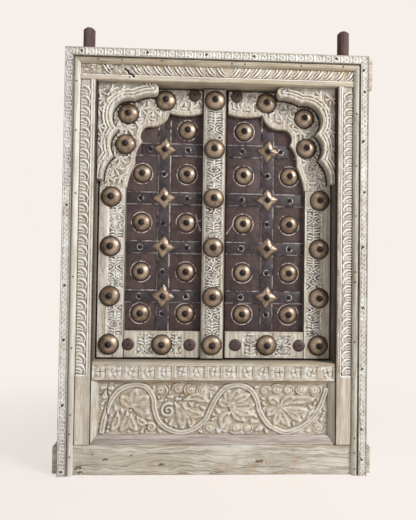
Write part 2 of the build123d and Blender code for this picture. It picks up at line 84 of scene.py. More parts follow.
# Bosses on carved wood: radius of the ring, clear space, and reach from a rail's middle, in millimetres
BOSS_RING = 23.5
BOSS_CLEAR = 18
BOSS_NEAR = 12

# Share of painted shade on the backs of carved pieces, fading up their sides
BACK_SHADE = 0.45

# Faces that meet at more than this angle keep a sharp edge, in degrees
SHARP_ANGLE = 38

# Gap between a boss and its ring of lime, and the gouges in the planks of each leaf, in metres
HALO_GAP = 0.0034
GOUGES = {
    "left": [((-0.047, 0.588), (-0.036, 0.552)), ((-0.050, 0.570), (-0.036, 0.576))],
    "right": [((0.050, 0.581), (0.027, 0.546)), ((0.044, 0.570), (0.052, 0.560))],
}


def srgb(red, green, blue):
    """A written screen colour as the linear colour that the shaders use."""
    channels = []
    for level in (red, green, blue):
        share = level / 255
        channels.append(share / 12.92 if share <= 0.04045 else ((share + 0.055) / 1.055) ** 2.4)
    return (*channels, 1.0)


def span(node):
    """The lowest and highest corners of a node, in millimetres."""
    low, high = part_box(node)
    return np.array(low) / MM, np.array(high) / MM


# Drawing of carved faces


def line(points, radii, step_share=0.4):
    """Points and radii taken closely along a broken line, so that round tools run together."""
    points = np.array(points, float)
    radii = np.broadcast_to(np.array(radii, float), len(points))
    places, widths = [points[0]], [radii[0]]
    for start, end, wide, narrow in zip(points, points[1:], radii, radii[1:]):
        length = np.hypot(*(end - start))
        count = max(1, int(length / (step_share * max(0.8, min(wide, narrow)))))
        for number in range(1, count + 1):
            share = number / count
            places.append(start + (end - start) * share)
            widths.append(wide + (narrow - wide) * share)
    return places, widths


def smooth(points, pieces=8):
    """A soft curve through given points."""
    points = [np.array(point, float) for point in points]
    ends = [2 * points[0] - points[1]] + points + [2 * points[-1] - points[-2]]
    curve = []
    for before, start, end, after in zip(ends, ends[1:], ends[2:], ends[3:]):
        for number in range(pieces):
            t = number / pieces
            bend = (2 * start, end - before, 2 * before - 5 * start + 4 * end - after)
            last = 3 * start - before - 3 * end + after
            curve.append((bend[0] + bend[1] * t + bend[2] * t * t + last * t ** 3) / 2)
    curve.append(points[-1])
    return curve


def swelling(points, radii, widest=0.5):
    """Radii along a line: at its start, at its widest place and at its end."""
    return np.interp(np.linspace(0, 1, len(points)), [0, widest, 1], radii)


def oval(centre, across, up, start, end, count=16):
    """Points along part of an oval, between two angles in degrees."""
    angles = np.radians(np.linspace(start, end, count))
    return [(centre[0] + across * math.cos(a), centre[1] + up * math.sin(a)) for a in angles]


def curl(centre, radius, start, turns, hand=1, count=26):
    """Points along a spiral that winds in to its centre."""
    points = []
    for number in range(count):
        share = number / (count - 1)
        angle = math.radians(start) + hand * share * turns * 2 * math.pi
        reach = radius * (1 - share * 0.9)
        points.append((centre[0] + reach * math.cos(angle), centre[1] + reach * math.sin(angle)))
    return points


def three_point_arc(first, middle, last, count):
    """Points along the circle through three points."""
    (ax, az), (bx, bz), (cx, cz) = first, middle, last
    d = 2 * (ax * (bz - cz) + bx * (cz - az) + cx * (az - bz))
    a2, b2, c2 = ax * ax + az * az, bx * bx + bz * bz, cx * cx + cz * cz
    centre_x = (a2 * (bz - cz) + b2 * (cz - az) + c2 * (az - bz)) / d
    centre_z = (a2 * (cx - bx) + b2 * (ax - cx) + c2 * (bx - ax)) / d
    radius = math.hypot(ax - centre_x, az - centre_z)
    angles = [math.atan2(z - centre_z, x - centre_x) for x, z in (first, middle, last)]
    turn = (angles[2] - angles[0]) % (2 * math.pi)
    if (angles[1] - angles[0]) % (2 * math.pi) > turn:
        turn -= 2 * math.pi
    steps = [angles[0] + turn * number / count for number in range(count + 1)]
    return [(centre_x + radius * math.cos(a), centre_z + radius * math.sin(a)) for a in steps]


def blur(field, reach):
    """A drawn field softened by a bell of the given reach in cells."""
    taps = np.arange(-int(3 * reach), int(3 * reach) + 1)
    weights = np.exp(-(taps / reach) ** 2 / 2)
    weights /= weights.sum()
    for axis in (0, 1):
        margins = [(0, 0), (0, 0)]
        margins[axis] = (len(taps) // 2, len(taps) // 2)
        padded = np.pad(field, margins, mode="edge")
        field = sum(
            weight * np.take(padded, np.arange(number, number + field.shape[axis]), axis=axis)
            for number, weight in enumerate(weights)
        )
    return field


def clouds(shape, cell, seed):
    """Soft random clouds between -1 and 1, with lumps about as wide as cell, counted in steps."""
    across = np.random.default_rng(seed).uniform(-1, 1, [int(size / cell) + 3 for size in shape])
    rows = np.linspace(0, across.shape[0] - 2.001, shape[0])
    columns = np.linspace(0, across.shape[1] - 2.001, shape[1])
    r, c = rows.astype(int), columns.astype(int)
    fr, fc = (rows - r)[:, None], (columns - c)[None, :]
    fr, fc = fr * fr * (3 - 2 * fr), fc * fc * (3 - 2 * fc)
    top = across[r][:, c] * (1 - fc) + across[r][:, c + 1] * fc
    low = across[r + 1][:, c] * (1 - fc) + across[r + 1][:, c + 1] * fc
    return top * (1 - fr) + low * fr


class Relief:
    """A carved face over X and Z in millimetres; its top is 0 and the ground lies below."""

    def __init__(self, low, high, level=0.0):
        self.low = np.array(low, float)
        self.count = np.ceil((np.array(high) - self.low) / RELIEF_STEP).astype(int) + 1
        self.height = np.full((self.count[1], self.count[0]), float(level))
        self.soil_and_shade = np.zeros_like(self.height)

    def window(self, low, high):
        """The rows and columns of a region, and the X and Z of their cells."""
        first = np.clip(np.floor((np.array(low) - self.low) / RELIEF_STEP).astype(int), 0, self.count)
        last = np.clip(np.ceil((np.array(high) - self.low) / RELIEF_STEP).astype(int) + 1, 0, self.count)
        x = self.low[0] + RELIEF_STEP * np.arange(first[0], last[0])
        z = self.low[1] + RELIEF_STEP * np.arange(first[1], last[1])
        return (slice(first[1], last[1]), slice(first[0], last[0])), x[None, :], z[:, None]

    def near(self, points, reach):
        """How far every cell lies from a line, up to a reach."""
        far = np.full_like(self.height, reach)
        for x, z in line(points, reach)[0]:
            region, xs, zs = self.window((x - reach, z - reach), (x + reach, z + reach))
            far[region] = np.minimum(far[region], np.hypot(xs - x, zs - z))
        return far

    def ridge(self, points, radii, top=0.0, base=-4.0, crown=3.0):
        """A raised stroke along a line, rounded over its top; a larger crown is flatter."""
        for (x, z), radius in zip(*line(points, radii)):
            region, xs, zs = self.window((x - radius, z - radius), (x + radius, z + radius))
            share = np.hypot(xs - x, zs - z) / radius
            raised = np.where(share < 1, base + (top - base) * (1 - np.minimum(share, 1) ** crown), -99.0)
            self.height[region] = np.maximum(self.height[region], raised)

    def groove(self, points, radius, depth):
        """A cut of even depth along a line, with sloping sides."""
        self.height -= depth * np.clip(1 - self.near(points, radius) / radius, 0, 1)

    def dark_marks(self, points, radius, amount=1.0):
        """Dark marks along a line: soil caught in cracks, and painted shade along gaps and edges."""
        caught = amount * np.clip(1.7 * (1 - self.near(points, radius) / radius), 0, 1)
        self.soil_and_shade = np.maximum(self.soil_and_shade, caught)

    def soil_and_shade_ground(self, low, high, depth, amount, seed):
        """Patches of soil and painted shade on the deepest ground between the carving of a region."""
        region = self.window(low, high)[0]
        ground = np.clip(-2.4 * self.height[region] / depth - 1.3, 0, 1)
        patches = np.clip(0.55 + 0.6 * clouds(ground.shape, 10 / RELIEF_STEP, seed), 0, 1)
        self.soil_and_shade[region] = np.maximum(self.soil_and_shade[region], amount * ground * patches)

    def sink(self, low, high, depth, slope=1.6):
        """A rectangular ground cut below the face."""
        region, xs, zs = self.window(low, high)
        within = np.minimum(np.minimum(xs - low[0], high[0] - xs), np.minimum(zs - low[1], high[1] - zs))
        self.height[region] -= depth * np.clip(within / slope, 0, 1)

    def roughen(self, amount, cell, seed, low=None, high=None):
        """Torn, rotten or weathered wood over the whole face or inside a region."""
        if low is None:
            low, high = self.low, self.low + self.count * RELIEF_STEP
        region, xs, zs = self.window(low, high)
        shape = (zs.shape[0], xs.shape[1])
        self.height[region] += amount * clouds(shape, cell / RELIEF_STEP, seed)

    def at(self, field, x, z):
        """The value of a drawn field at points of the face."""
        column = np.clip((x - self.low[0]) / RELIEF_STEP, 0, self.count[0] - 1.001)
        row = np.clip((z - self.low[1]) / RELIEF_STEP, 0, self.count[1] - 1.001)
        c, r = column.astype(int), row.astype(int)
        fc, fr = column - c, row - r
        top = field[r, c] * (1 - fc) + field[r, c + 1] * fc
        low = field[r + 1, c] * (1 - fc) + field[r + 1, c + 1] * fc
        return top * (1 - fr) + low * fr

    def read(self, x, z):
        """Height at points, and their marks: hollowness, depth below the top, and soil with painted shade.
        """
        soft = blur(self.height, 0.9)
        hollow = blur(soft, 3.5) - soft
        depth = max(0.5, -float(np.percentile(soft, 2)))
        marks = {"hollow": self.at(hollow, x, z), "sunk": np.clip(-self.at(soft, x, z) / depth, 0, 1)}
        marks["soil_and_shade"] = self.at(self.soil_and_shade, x, z)
        return self.at(soft, x, z), marks


# Meshes


class Stock:
    """Corners, faces and carving marks gathered for one piece."""

    def __init__(self):
        self.corners = []
        self.faces = []
        self.marks = {"hollow": [], "sunk": [], "soil_and_shade": []}

    def put(self, corners, faces, marks=None):
        """Adds corners in millimetres, and faces that count from the first of them; backs get painted
        shade.
        """
        first = len(self.corners)
        self.corners += [tuple(c) for c in np.array(corners, float) * MM]
        self.faces += [[first + number for number in face] for face in faces]
        for name, values in self.marks.items():
            given = list(marks[name].ravel()) if marks else []
            unseen = BACK_SHADE if marks and name == "soil_and_shade" else 0.0
            values += given + [unseen] * (len(corners) - len(given))

    def block(self, low, high, edge=1.6):
        """A worn rectangular block between two corners."""
        bm = bmesh.new()
        size = np.array(high, float) - np.array(low, float)
        place = Matrix.Translation((np.array(high, float) + np.array(low, float)) / 2)
        bmesh.ops.create_cube(bm, size=1, matrix=place @ Matrix.Diagonal((*size, 1)))
        bmesh.ops.bevel(bm, geom=bm.edges[:], offset=edge, segments=2, profile=0.5, affect="EDGES")
        bm.verts.index_update()
        self.put([v.co for v in bm.verts], [[v.index for v in face.verts] for face in bm.faces])
        bm.free()

    def carved_bar(self, relief, corners, face_y, back_y, edge=1.2, step=GRID_STEP):
        """A bar with a carved front; corners run from low left, against the clock, and may be mitred."""
        a, b, c, d = [np.array(corner, float) for corner in corners]
        wide = max(np.hypot(*(b - a)), np.hypot(*(c - d)))
        tall = max(np.hypot(*(d - a)), np.hypot(*(c - b)))
        columns, rows = int(wide / step) + 1, int(tall / step) + 1
        u = np.linspace(0, 1, columns + 1)[None, :, None]
        v = np.linspace(0, 1, rows + 1)[:, None, None]
        flat = (a * (1 - u) + b * u) * (1 - v) + (d * (1 - u) + c * u) * v
        height, marks = relief.read(flat[..., 0], flat[..., 1])
        near = np.minimum(np.minimum(u, 1 - u) * wide, np.minimum(v, 1 - v) * tall)[..., 0]
        y = face_y - height + rounding(near, edge)
        front = np.stack([flat[..., 0], y, flat[..., 1]], axis=-1).reshape(-1, 3)
        number = np.arange((rows + 1) * (columns + 1)).reshape(rows + 1, columns + 1)
        faces = np.stack([number[:-1, :-1], number[:-1, 1:], number[1:, 1:], number[1:, :-1]], axis=-1)
        faces = faces.reshape(-1, 4).tolist()
        back = [(corner[0], back_y, corner[1]) for corner in (a, b, c, d)]
        low_left, low_right, high_right, high_left = [len(front) + corner for corner in range(4)]
        faces.append([low_right, low_left] + number[0, :].tolist())
        faces.append([high_right, low_right] + number[:, -1].tolist())
        faces.append([high_left, high_right] + number[-1, ::-1].tolist())
        faces.append([low_left, high_left] + number[::-1, 0].tolist())
        faces.append([low_left, low_right, high_right, high_left])
        self.put(np.vstack([front, back]), faces, marks)

    def cut_out(self, relief, outline, face_y, back_y, edge=1.2, step=GRID_STEP):
        """A carved board cut to an outline of X and Z points."""
        outline = np.array(outline, float)
        low, high = outline.min(axis=0), outline.max(axis=0)
        xs, zs = np.meshgrid(np.arange(low[0], high[0], step), np.arange(low[1], high[1], step))
        grid = np.stack([xs.ravel(), zs.ravel()], axis=-1)
        grid = grid[inside(outline, grid) & (distance_to(outline, grid) > 0.55 * step)]
        places = [Vector(point) for point in np.vstack([outline, grid])]
        loop = list(range(len(outline)))
        found, _, triangles, *_ = geometry.delaunay_2d_cdt(places, [], [loop], 1, 1e-7)
        flat = np.array([tuple(point) for point in found])
        height, marks = relief.read(flat[:, 0], flat[:, 1])
        y = face_y - height + rounding(distance_to(outline, flat), edge)
        front = np.stack([flat[:, 0], y, flat[:, 1]], axis=-1)
        sides = {pair for t in triangles for pair in zip(t, t[1:] + t[:1])}
        rim = {start: end for start, end in sides if (end, start) not in sides}
        ring = [min(rim)]
        while rim[ring[-1]] != ring[0]:
            ring.append(rim[ring[-1]])
        back = [(flat[corner, 0], back_y, flat[corner, 1]) for corner in ring]
        count = len(front)
        faces = [list(triangle) for triangle in triangles]
        for number, corner in enumerate(ring):
            after = (number + 1) % len(ring)
            faces.append([ring[after], corner, count + number, count + after])
        faces.append([count + number for number in reversed(range(len(ring)))])
        self.put(np.vstack([front, back]), faces, marks)

    def piece(self, name, body, slot, material, nodes, sharp=SHARP_ANGLE):
        """Turns the stock into an object that rides on a body and stands for its nodes."""
        mesh = bpy.data.meshes.new(name)
        mesh.from_pydata(self.corners, [], self.faces)
        bm = bmesh.new()
        bm.from_mesh(mesh)
        bmesh.ops.recalc_face_normals(bm, faces=bm.faces)
        bm.to_mesh(mesh)
        bm.free()
        for mark, values in self.marks.items():
            mesh.attributes.new(mark, "FLOAT", "POINT").data.foreach_set("value", values)
        return finished(mesh, name, body, slot, material, nodes, sharp)


def finished(mesh, name, body, slot, material, nodes, sharp=SHARP_ANGLE):
    """A named object from a mesh, with its finish, on its body."""
    mesh.name = name
    mesh.materials.clear()
    mesh.materials.append(material)
    mesh.shade_smooth()
    mesh.set_sharp_from_angle(angle=math.radians(sharp))
    thing = bpy.data.objects.new(name, mesh)
    bpy.context.scene.collection.objects.link(thing)
    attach(thing, body)
    if nodes:
        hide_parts(*nodes)
    return thing


def rounding(near, edge):
    """How far a worn edge falls back at a distance from it."""
    return edge * (1 - np.sqrt(1 - np.clip(1 - near / edge, 0, 1) ** 2))


def inside(outline, points):
    """Which points lie inside a closed outline."""
    odd = np.zeros(len(points), bool)
    for (ax, az), (bx, bz) in zip(outline, np.roll(outline, -1, axis=0)):
        if az == bz:
            continue
        crosses = (az > points[:, 1]) != (bz > points[:, 1])
        odd ^= crosses & (points[:, 0] < (bx - ax) * (points[:, 1] - az) / (bz - az) + ax)
    return odd


def distance_to(outline, points):
    """How far points lie from a closed outline."""
    best = np.full(len(points), 1e9)
    for start, end in zip(outline, np.roll(outline, -1, axis=0)):
        way = end - start
        share = np.clip(((points - start) @ way) / max(1e-9, way @ way), 0, 1)
        best = np.minimum(best, np.hypot(*(points - start - share[:, None] * way).T))
    return best


def softened(node, body, slot, material, edge=1.4, sharp=SHARP_ANGLE):
    """A copy of a plain node with its edges worn round."""
    bm = bmesh.new()
    bm.from_mesh(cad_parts[node].data)
    bmesh.ops.remove_doubles(bm, verts=bm.verts, dist=1e-6)
    bmesh.ops.dissolve_limit(bm, angle_limit=math.radians(1), verts=bm.verts, edges=bm.edges)
    sharp_edges = [e for e in bm.edges if len(e.link_faces) == 2 and e.calc_face_angle() > math.radians(30)]
    bmesh.ops.bevel(
        bm, geom=sharp_edges, offset=edge * MM, segments=2, profile=0.5, affect="EDGES", clamp_overlap=True
    )
    mesh = bpy.data.meshes.new(node)
    bm.to_mesh(mesh)
    bm.free()
    return finished(mesh, "worn_" + node, body, slot, material, [node], sharp)


def loose_parts(node):
    """The low and high corners of every separate solid of a node, in millimetres."""
    bm = bmesh.new()
    bm.from_mesh(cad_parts[node].data)
    bmesh.ops.remove_doubles(bm, verts=bm.verts, dist=1e-6)
    waiting = set(bm.verts)
    parts = []
    while waiting:
        front = [waiting.pop()]
        members = []
        while front:
            vert = front.pop()
            members.append(vert.co[:])
            for edge in vert.link_edges:
                other = edge.other_vert(vert)
                if other in waiting:
                    waiting.remove(other)
                    front.append(other)
        members = np.array(members) / MM
        parts.append((members.min(axis=0), members.max(axis=0)))
    bm.free()
    return sorted(parts, key=lambda part: (round(part[0][2]), round(part[0][0])))


# Node sockets that can stand in a sum


class Sock:
    """A socket of a node tree; sums of sockets add Math nodes, and add() puts in any other node."""

    def __init__(self, tree, socket=None):
        self.tree = tree
        self.socket = socket

    def add(self, kind, settings=None, values=None, out=0):
        """A new node: its settings first, then the values or links of its sockets."""
        node = self.tree.nodes.new(kind)
        for name, setting in (settings or {}).items():
            setattr(node, name, setting)
        for name, value in (values or {}).items():
            if isinstance(value, Sock):
                self.tree.links.new(value.socket, node.inputs[name])
            else:
                node.inputs[name].default_value = value
        return Sock(self.tree, node.outputs[out] if len(node.outputs) else None)

    def math(self, operation, *others):
        """A Math node on this socket and up to two more values."""
        values = {number: value for number, value in enumerate((self, *others))}
        return self.add("ShaderNodeMath", {"operation": operation}, values)

    def __add__(self, other):
        return self.math("ADD", other)

    def __sub__(self, other):
        return self.math("SUBTRACT", other)

    def __mul__(self, other):
        return self.math("MULTIPLY", other)

    def __truediv__(self, other):
        return self.math("DIVIDE", other)

    def __pow__(self, other):
        return self.math("POWER", other)

    def __abs__(self):
        return self.math("ABSOLUTE")

    def __rsub__(self, other):
        return self.add("ShaderNodeMath", {"operation": "SUBTRACT"}, {0: other, 1: self})

    def __rtruediv__(self, other):
        return self.add("ShaderNodeMath", {"operation": "DIVIDE"}, {0: other, 1: self})

    __radd__ = __add__
    __rmul__ = __mul__

    def between(self, low, high):
        """0 below low, 1 above high and a soft step between them."""
        values = {"Value": self, "From Min": low, "From Max": high}
        return self.add("ShaderNodeMapRange", {"interpolation_type": "SMOOTHSTEP"}, values)

    def blend(self, first, second):
        """A colour mixed from two, with this socket as the share of the second."""
        values = {0: self, 6: first, 7: second}
        return self.add("ShaderNodeMix", {"data_type": "RGBA"}, values, 2)

    def scaled(self, factors):
        """A vector stretched along its axes."""
        return self.add("ShaderNodeVectorMath", {"operation": "MULTIPLY"}, {0: self, 1: factors})

    def plus(self, other):
        """The sum of two vectors."""
        return self.add("ShaderNodeVectorMath", {"operation": "ADD"}, {0: self, 1: other})

    def mark(self, name):
        """A number kept at the corners of the mesh."""
        return self.add("ShaderNodeAttribute", {"attribute_name": name}, None, 2)

    def noise(self, scale, detail=3.0, roughness=0.55, distortion=0.0):
        """Soft noise over this vector."""
        values = {"Vector": self, "Scale": scale, "Detail": detail, "Roughness": roughness}
        values["Distortion"] = distortion
        return self.add("ShaderNodeTexNoise", None, values)

    def axis(self, number):
        """One coordinate of this vector."""
        return self.add("ShaderNodeSeparateXYZ", None, {0: self}, number)


def new_material(name):
    """An empty node material: its tree, and the Object coordinates on it."""
    material = bpy.data.materials.new(name)
    material.use_nodes = True
    material.node_tree.nodes.clear()
    tree = Sock(material.node_tree)
    return material, tree, tree.add("ShaderNodeTexCoord", None, None, 3)


def finish_surface(tree, colour, roughness, bump, bump_reach, bump_strength, **shader):
    """Joins colour, roughness and bump to the shader and the shader to the output."""
    normal = tree.add(
        "ShaderNodeBump", None, {"Strength": bump_strength, "Distance": bump_reach, "Height": bump}
    )
    values = {"Base Color": colour, "Roughness": roughness, "Normal": normal}
    values.update({name.replace("_", " "): value for name, value in shader.items()})
    surface = tree.add("ShaderNodeBsdfPrincipled", None, values)
    tree.add("ShaderNodeOutputMaterial", None, {"Surface": surface})


# Colours and grain that every wood shares
LIME = srgb(232, 234, 232)
OCHRE = srgb(176, 140, 98)
# Brown of the painted shade in the deepest hollows, also used for cracks in the grain
CREVICE_SHADE_AND_CRACK = srgb(112, 90, 68)
# Colour of soil, and of painted shade in gaps and on backs
SOIL_AND_SHADE = srgb(48, 37, 30)
KNOT = srgb(104, 78, 56)
KNOT_RINGS = 3.2
GRAIN_STRETCH = 0.045
GRAIN_SWAY = 0.012


def old_wood(name, along, tones, lime, soil_and_shade, grain=1.0, knots=(), sway=GRAIN_SWAY):
    """Weathered carved wood with grain along one axis; lime lies in hollows, on tops and along edges, and
    painted shade with some soil darkens the deepest hollows.
    """
    material, tree, place = new_material(name)
    light, mid, dark = [srgb(*tone) for tone in tones]
    lime_in, lime_on, lime_edge = lime
    stretch = {"X": (GRAIN_STRETCH, 1.0, 1.0), "Z": (1.0, 1.0, GRAIN_STRETCH)}[along]
    drift = (place.noise(11, 2) - 0.5) * sway
    drift = tree.add("ShaderNodeCombineXYZ", None, {2 if along == "X" else 0: drift})
    run = place.scaled(stretch).plus(drift)
    rings = None
    for x, z, radius in knots:
        size = radius * MM
        flat = place.scaled((0.6, 0.0, 1.0))
        spot = {0: flat, 1: (x * MM * 0.6, 0.0, z * MM)}
        reach = flat.add("ShaderNodeVectorMath", {"operation": "DISTANCE"}, spot, 1)
        reach = reach + (place.noise(75, 3) - 0.5) * (1.3 * size)
        wave = (reach * (KNOT_RINGS * 2 * math.pi / size)).math("SINE").between(-0.1, 0.8)
        near = wave * (1 - reach.between(size * 0.6, size * 1.7)) * 0.32
        near = near.math("MAXIMUM", (1 - reach.between(size * 0.1, size * 0.38)) * 0.95)
        rings = near if rings is None else rings.math("MAXIMUM", near)
        above = (place.axis(2) - z * MM).math("SIGN")
        shift = (1 - reach.between(0.0, size * 4)) * above * (-0.9 * size)
        run = run.plus(tree.add("ShaderNodeCombineXYZ", None, {2: shift}))
    hollow, sunk, soiled_and_shaded = [tree.mark(name) for name in ("hollow", "sunk", "soil_and_shade")]
    broad = run.noise(70, 5, 0.62)
    streak = run.noise(150, 4, 0.6)
    fine = run.noise(380, 4, 0.6)
    dark_marks = place.noise(9, 4, 0.6)
    patch = place.noise(55, 5, 0.7)
    speck = place.noise(240, 3, 0.6)
    split = 1 - abs(run.noise(30, 6, 0.5) - 0.5).between(0.0, 0.012)
    colour = (broad * 0.75 + dark_marks * 0.45).between(0.44, 0.74).blend(mid, light)
    colour = (streak.between(0.46, 0.66) * (0.4 * grain)).blend(colour, dark)
    colour = (fine.between(0.48, 0.68) * (0.5 * grain)).blend(colour, dark)
    colour = (dark_marks.between(0.52, 0.68) * 0.4).blend(colour, dark)
    colour = (place.noise(16, 4, 0.65).between(0.56, 0.74) * 0.4).blend(colour, OCHRE)
    lure = sunk * lime_in + (1 - sunk) * lime_on + hollow * (0.3 * lime_in)
    broken = (patch - 0.5) * 1.3 + (streak - 0.5) * 0.8 + (speck - 0.5) * 0.5
    white = (lure + broken).between(0.42, 0.8) * 0.9
    colour = white.blend(colour, LIME)
    edge = (hollow * -1.0 + (patch - 0.5) * 0.9).between(0.1, 0.55) * lime_edge
    colour = edge.blend(colour, LIME)
    # Painted shade, with some soil, in the deepest hollows
    deep_shade = (hollow + (patch - 0.5) * -1.6 + (speck - 0.5) * 0.5).between(0.25, 1.0) * soil_and_shade
    colour = deep_shade.blend(colour, CREVICE_SHADE_AND_CRACK)
    # Soil and painted shade from the carved marks
    colour = soiled_and_shaded.blend(colour, SOIL_AND_SHADE)
    crack = split * run.noise(10, 2).between(0.52, 0.64) * 0.6 * grain
    colour = crack.blend(colour, CREVICE_SHADE_AND_CRACK)
    if rings:
        colour = rings.blend(colour, KNOT)
    relief = broad * 0.5 + streak * 0.4 + fine * 0.4 + speck * 0.3 - crack * 1.2
    finish_surface(tree, colour, 0.66 + fine * 0.25, relief, 0.0012, 0.6, Specular_IOR_Level=0.25)
    return material


def nearest(x, z, places):
    """How far a point lies from the nearest of some places."""
    near = None
    for column, row in places:
        reach = ((x - column) ** 2.0 + (z - row) ** 2.0) ** 0.5
        near = reach if near is None else near.math("MINIMUM", reach)
    return near


def from_line(x, z, start, end):
    """How far a point lies from the straight line between two places."""
    across, up = end[0] - start[0], end[1] - start[1]
    along = ((x - start[0]) * across + (z - start[1]) * up) / (across**2 + up**2)
    along = along.math("MAXIMUM", 0.0).math("MINIMUM", 1.0)
    return ((x - start[0] - along * across) ** 2.0 + (z - start[1] - along * up) ** 2.0) ** 0.5


def from_straps(x, z, rows, half, upright):
    """How far a point lies from the nearest edge of the level straps and the upright one."""
    edge = abs(abs(x - upright) - half)
    for row in rows:
        edge = edge.math("MINIMUM", abs(abs(z - row) - half))
    return edge


def broken_lime(place, edge, speck, reach):
    """Lime left in broken runs within reach of an edge."""
    near = 1 - (edge + (speck - 0.5) * 0.002).between(0.0, reach)
    return near * place.noise(40, 5, 0.75).between(0.42, 0.58)


def dark_board(name, front, bosses, boss_reach, strap_rows, strap_half, upright, gouges):
    """Dark oiled planks, with broken lime left round the bosses, beside the straps and in gouges, and
    painted shade along the straps.
    """
    material, tree, place = new_material(name)
    run = place.scaled((1.0, 1.0, 0.06))
    x, z = place.axis(0), place.axis(2)
    fine = run.noise(420, 4, 0.65)
    broad = place.noise(45, 5, 0.65)
    patch = place.noise(70, 4, 0.7)
    speck = place.noise(330, 3, 0.7)
    brown, light_brown, pore = srgb(45, 33, 34), srgb(80, 59, 56), srgb(36, 27, 29)
    # The darkest tone here is painted shade beside the straps
    strap_shade, old_lime = srgb(30, 22, 24), srgb(216, 207, 198)
    colour = (broad * 0.8 + patch * 0.4).between(0.42, 0.78).blend(brown, light_brown)
    colour = (fine.between(0.5, 0.75) * 0.6).blend(colour, pore)
    near = nearest(x, z, bosses)
    drift = (speck - 0.5) * 0.0018
    halo = (1 - abs(near - boss_reach + drift).between(0.0, 0.0017)) * patch.between(0.40, 0.58)
    edge = from_straps(x, z, strap_rows, strap_half, upright)
    # Painted shade on the planks along the strap edges
    colour = ((1 - edge.between(0.001, 0.008)) * 0.45).blend(colour, strap_shade)
    caught = broken_lime(place, edge, speck, 0.0022)
    dust = speck.between(0.6, 0.76) * patch.between(0.48, 0.68)
    for start, end in gouges:
        torn = from_line(x, z, start, end) + (patch - 0.5) * 0.006
        caught = caught.math("MAXIMUM", (1 - torn.between(0.0, 0.0022)) * speck.between(0.36, 0.5))
    outside = 1 - (place.axis(1) - front).between(0.0008, 0.002)
    white = (halo * 0.85).math("MAXIMUM", caught * 0.85) * outside
    white = white.math("MAXIMUM", dust * 0.5)
    colour = white.blend(colour, old_lime)
    finish_surface(tree, colour, 0.45 + fine * 0.35, fine * 0.6 + white * 0.5, 0.0008, 0.6)
    return material


def strap_iron(name, rows, half, upright, nails):
    """Dark sheet iron with a little lime caught on its edges and round its nails."""
    material, tree, place = new_material(name)
    x, z = place.axis(0), place.axis(2)
    patch = place.noise(90, 5, 0.7)
    speck = place.noise(420, 3, 0.7)
    iron, worn_iron, bright = srgb(40, 33, 37), srgb(72, 62, 65), srgb(112, 98, 94)
    old_lime = srgb(202, 193, 187)
    colour = patch.between(0.35, 0.7).blend(iron, worn_iron)
    colour = (speck.between(0.62, 0.8) * 0.4).blend(colour, bright)
    worn = broken_lime(place, from_straps(x, z, rows, half, upright), speck, 0.0018)
    near = nearest(x, z, nails)
    nail_ring, ring_half = 0.0066, 0.0016
    ring = 1 - abs(near - nail_ring).between(0.0, ring_half)
    ring = ring * place.noise(110, 2).between(0.45, 0.56) * 0.8
    colour = (worn * 0.7).math("MAXIMUM", ring).blend(colour, old_lime)
    finish_surface(tree, colour, 0.4 + patch * 0.3, patch * 0.7 + speck * 0.4, 0.0009, 0.6, Metallic=0.2)
    return material


def old_brass(name):
    """Old brass: a skin of patina that darkens towards the rim, rubbed pale between rim and nail, with
    painted shade in a thin ring at the rim and round the nail.
    """
    material, tree, place = new_material(name)
    radial = tree.mark("radial")
    cloud = place.noise(28, 4, 0.6)
    patch = place.noise(90, 4, 0.65)
    speck = place.noise(500, 3, 0.7)
    dull, rubbed, skin_tone = srgb(110, 89, 72), srgb(172, 153, 130), srgb(78, 59, 50)
    # rim and nail_shade are painted shade; the other tones are the brass and its patina
    pit, rim, nail_shade = srgb(80, 62, 52), srgb(34, 27, 26), srgb(66, 52, 46)
    colour = (cloud * 0.6 + patch * 0.5).between(0.42, 0.68).blend(dull, rubbed)
    skin = radial.between(0.5, 1.0) * 0.75 + (cloud - 0.5) * 0.5 + (patch - 0.5) * 0.5
    colour = (skin.between(0.1, 0.7) * 0.75).blend(colour, skin_tone)
    colour = (speck.between(0.56, 0.76) * 0.5).blend(colour, pit)
    # Painted shade: a thin dark ring at the rim, and darker round the nail
    colour = (radial.between(0.84, 0.97) * 0.95).blend(colour, rim)
    colour = ((1 - radial.between(0.28, 0.46)) * 0.7).blend(colour, nail_shade)
    dents = place.noise(130, 2, 0.5)
    rough = 0.3 + patch * 0.2 + skin * 0.12
    bump = dents * 0.8 + speck * 0.2
    finish_surface(tree, colour, rough, bump, 0.0012, 0.45, Metallic=0.5, Coat_Weight=0.25)
    return material


def black_iron(name, light, dark, metal=0.5):
    """Forged iron with a dull brown skin."""
    material, tree, place = new_material(name)
    patch = place.noise(190, 4, 0.7)
    speck = place.noise(800, 2, 0.6)
    colour = patch.between(0.35, 0.7).blend(dark, light)
    finish_surface(tree, colour, 0.4 + patch * 0.3, patch + speck * 0.4, 0.0008, 0.6, Metallic=metal)
    return material


# Knots of the sill, as X, Z and radius in millimetres, and how far its grain sways
SILL_KNOTS = ((103, 31, 14), (-117, 23, 8))
SILL_SWAY = 0.035
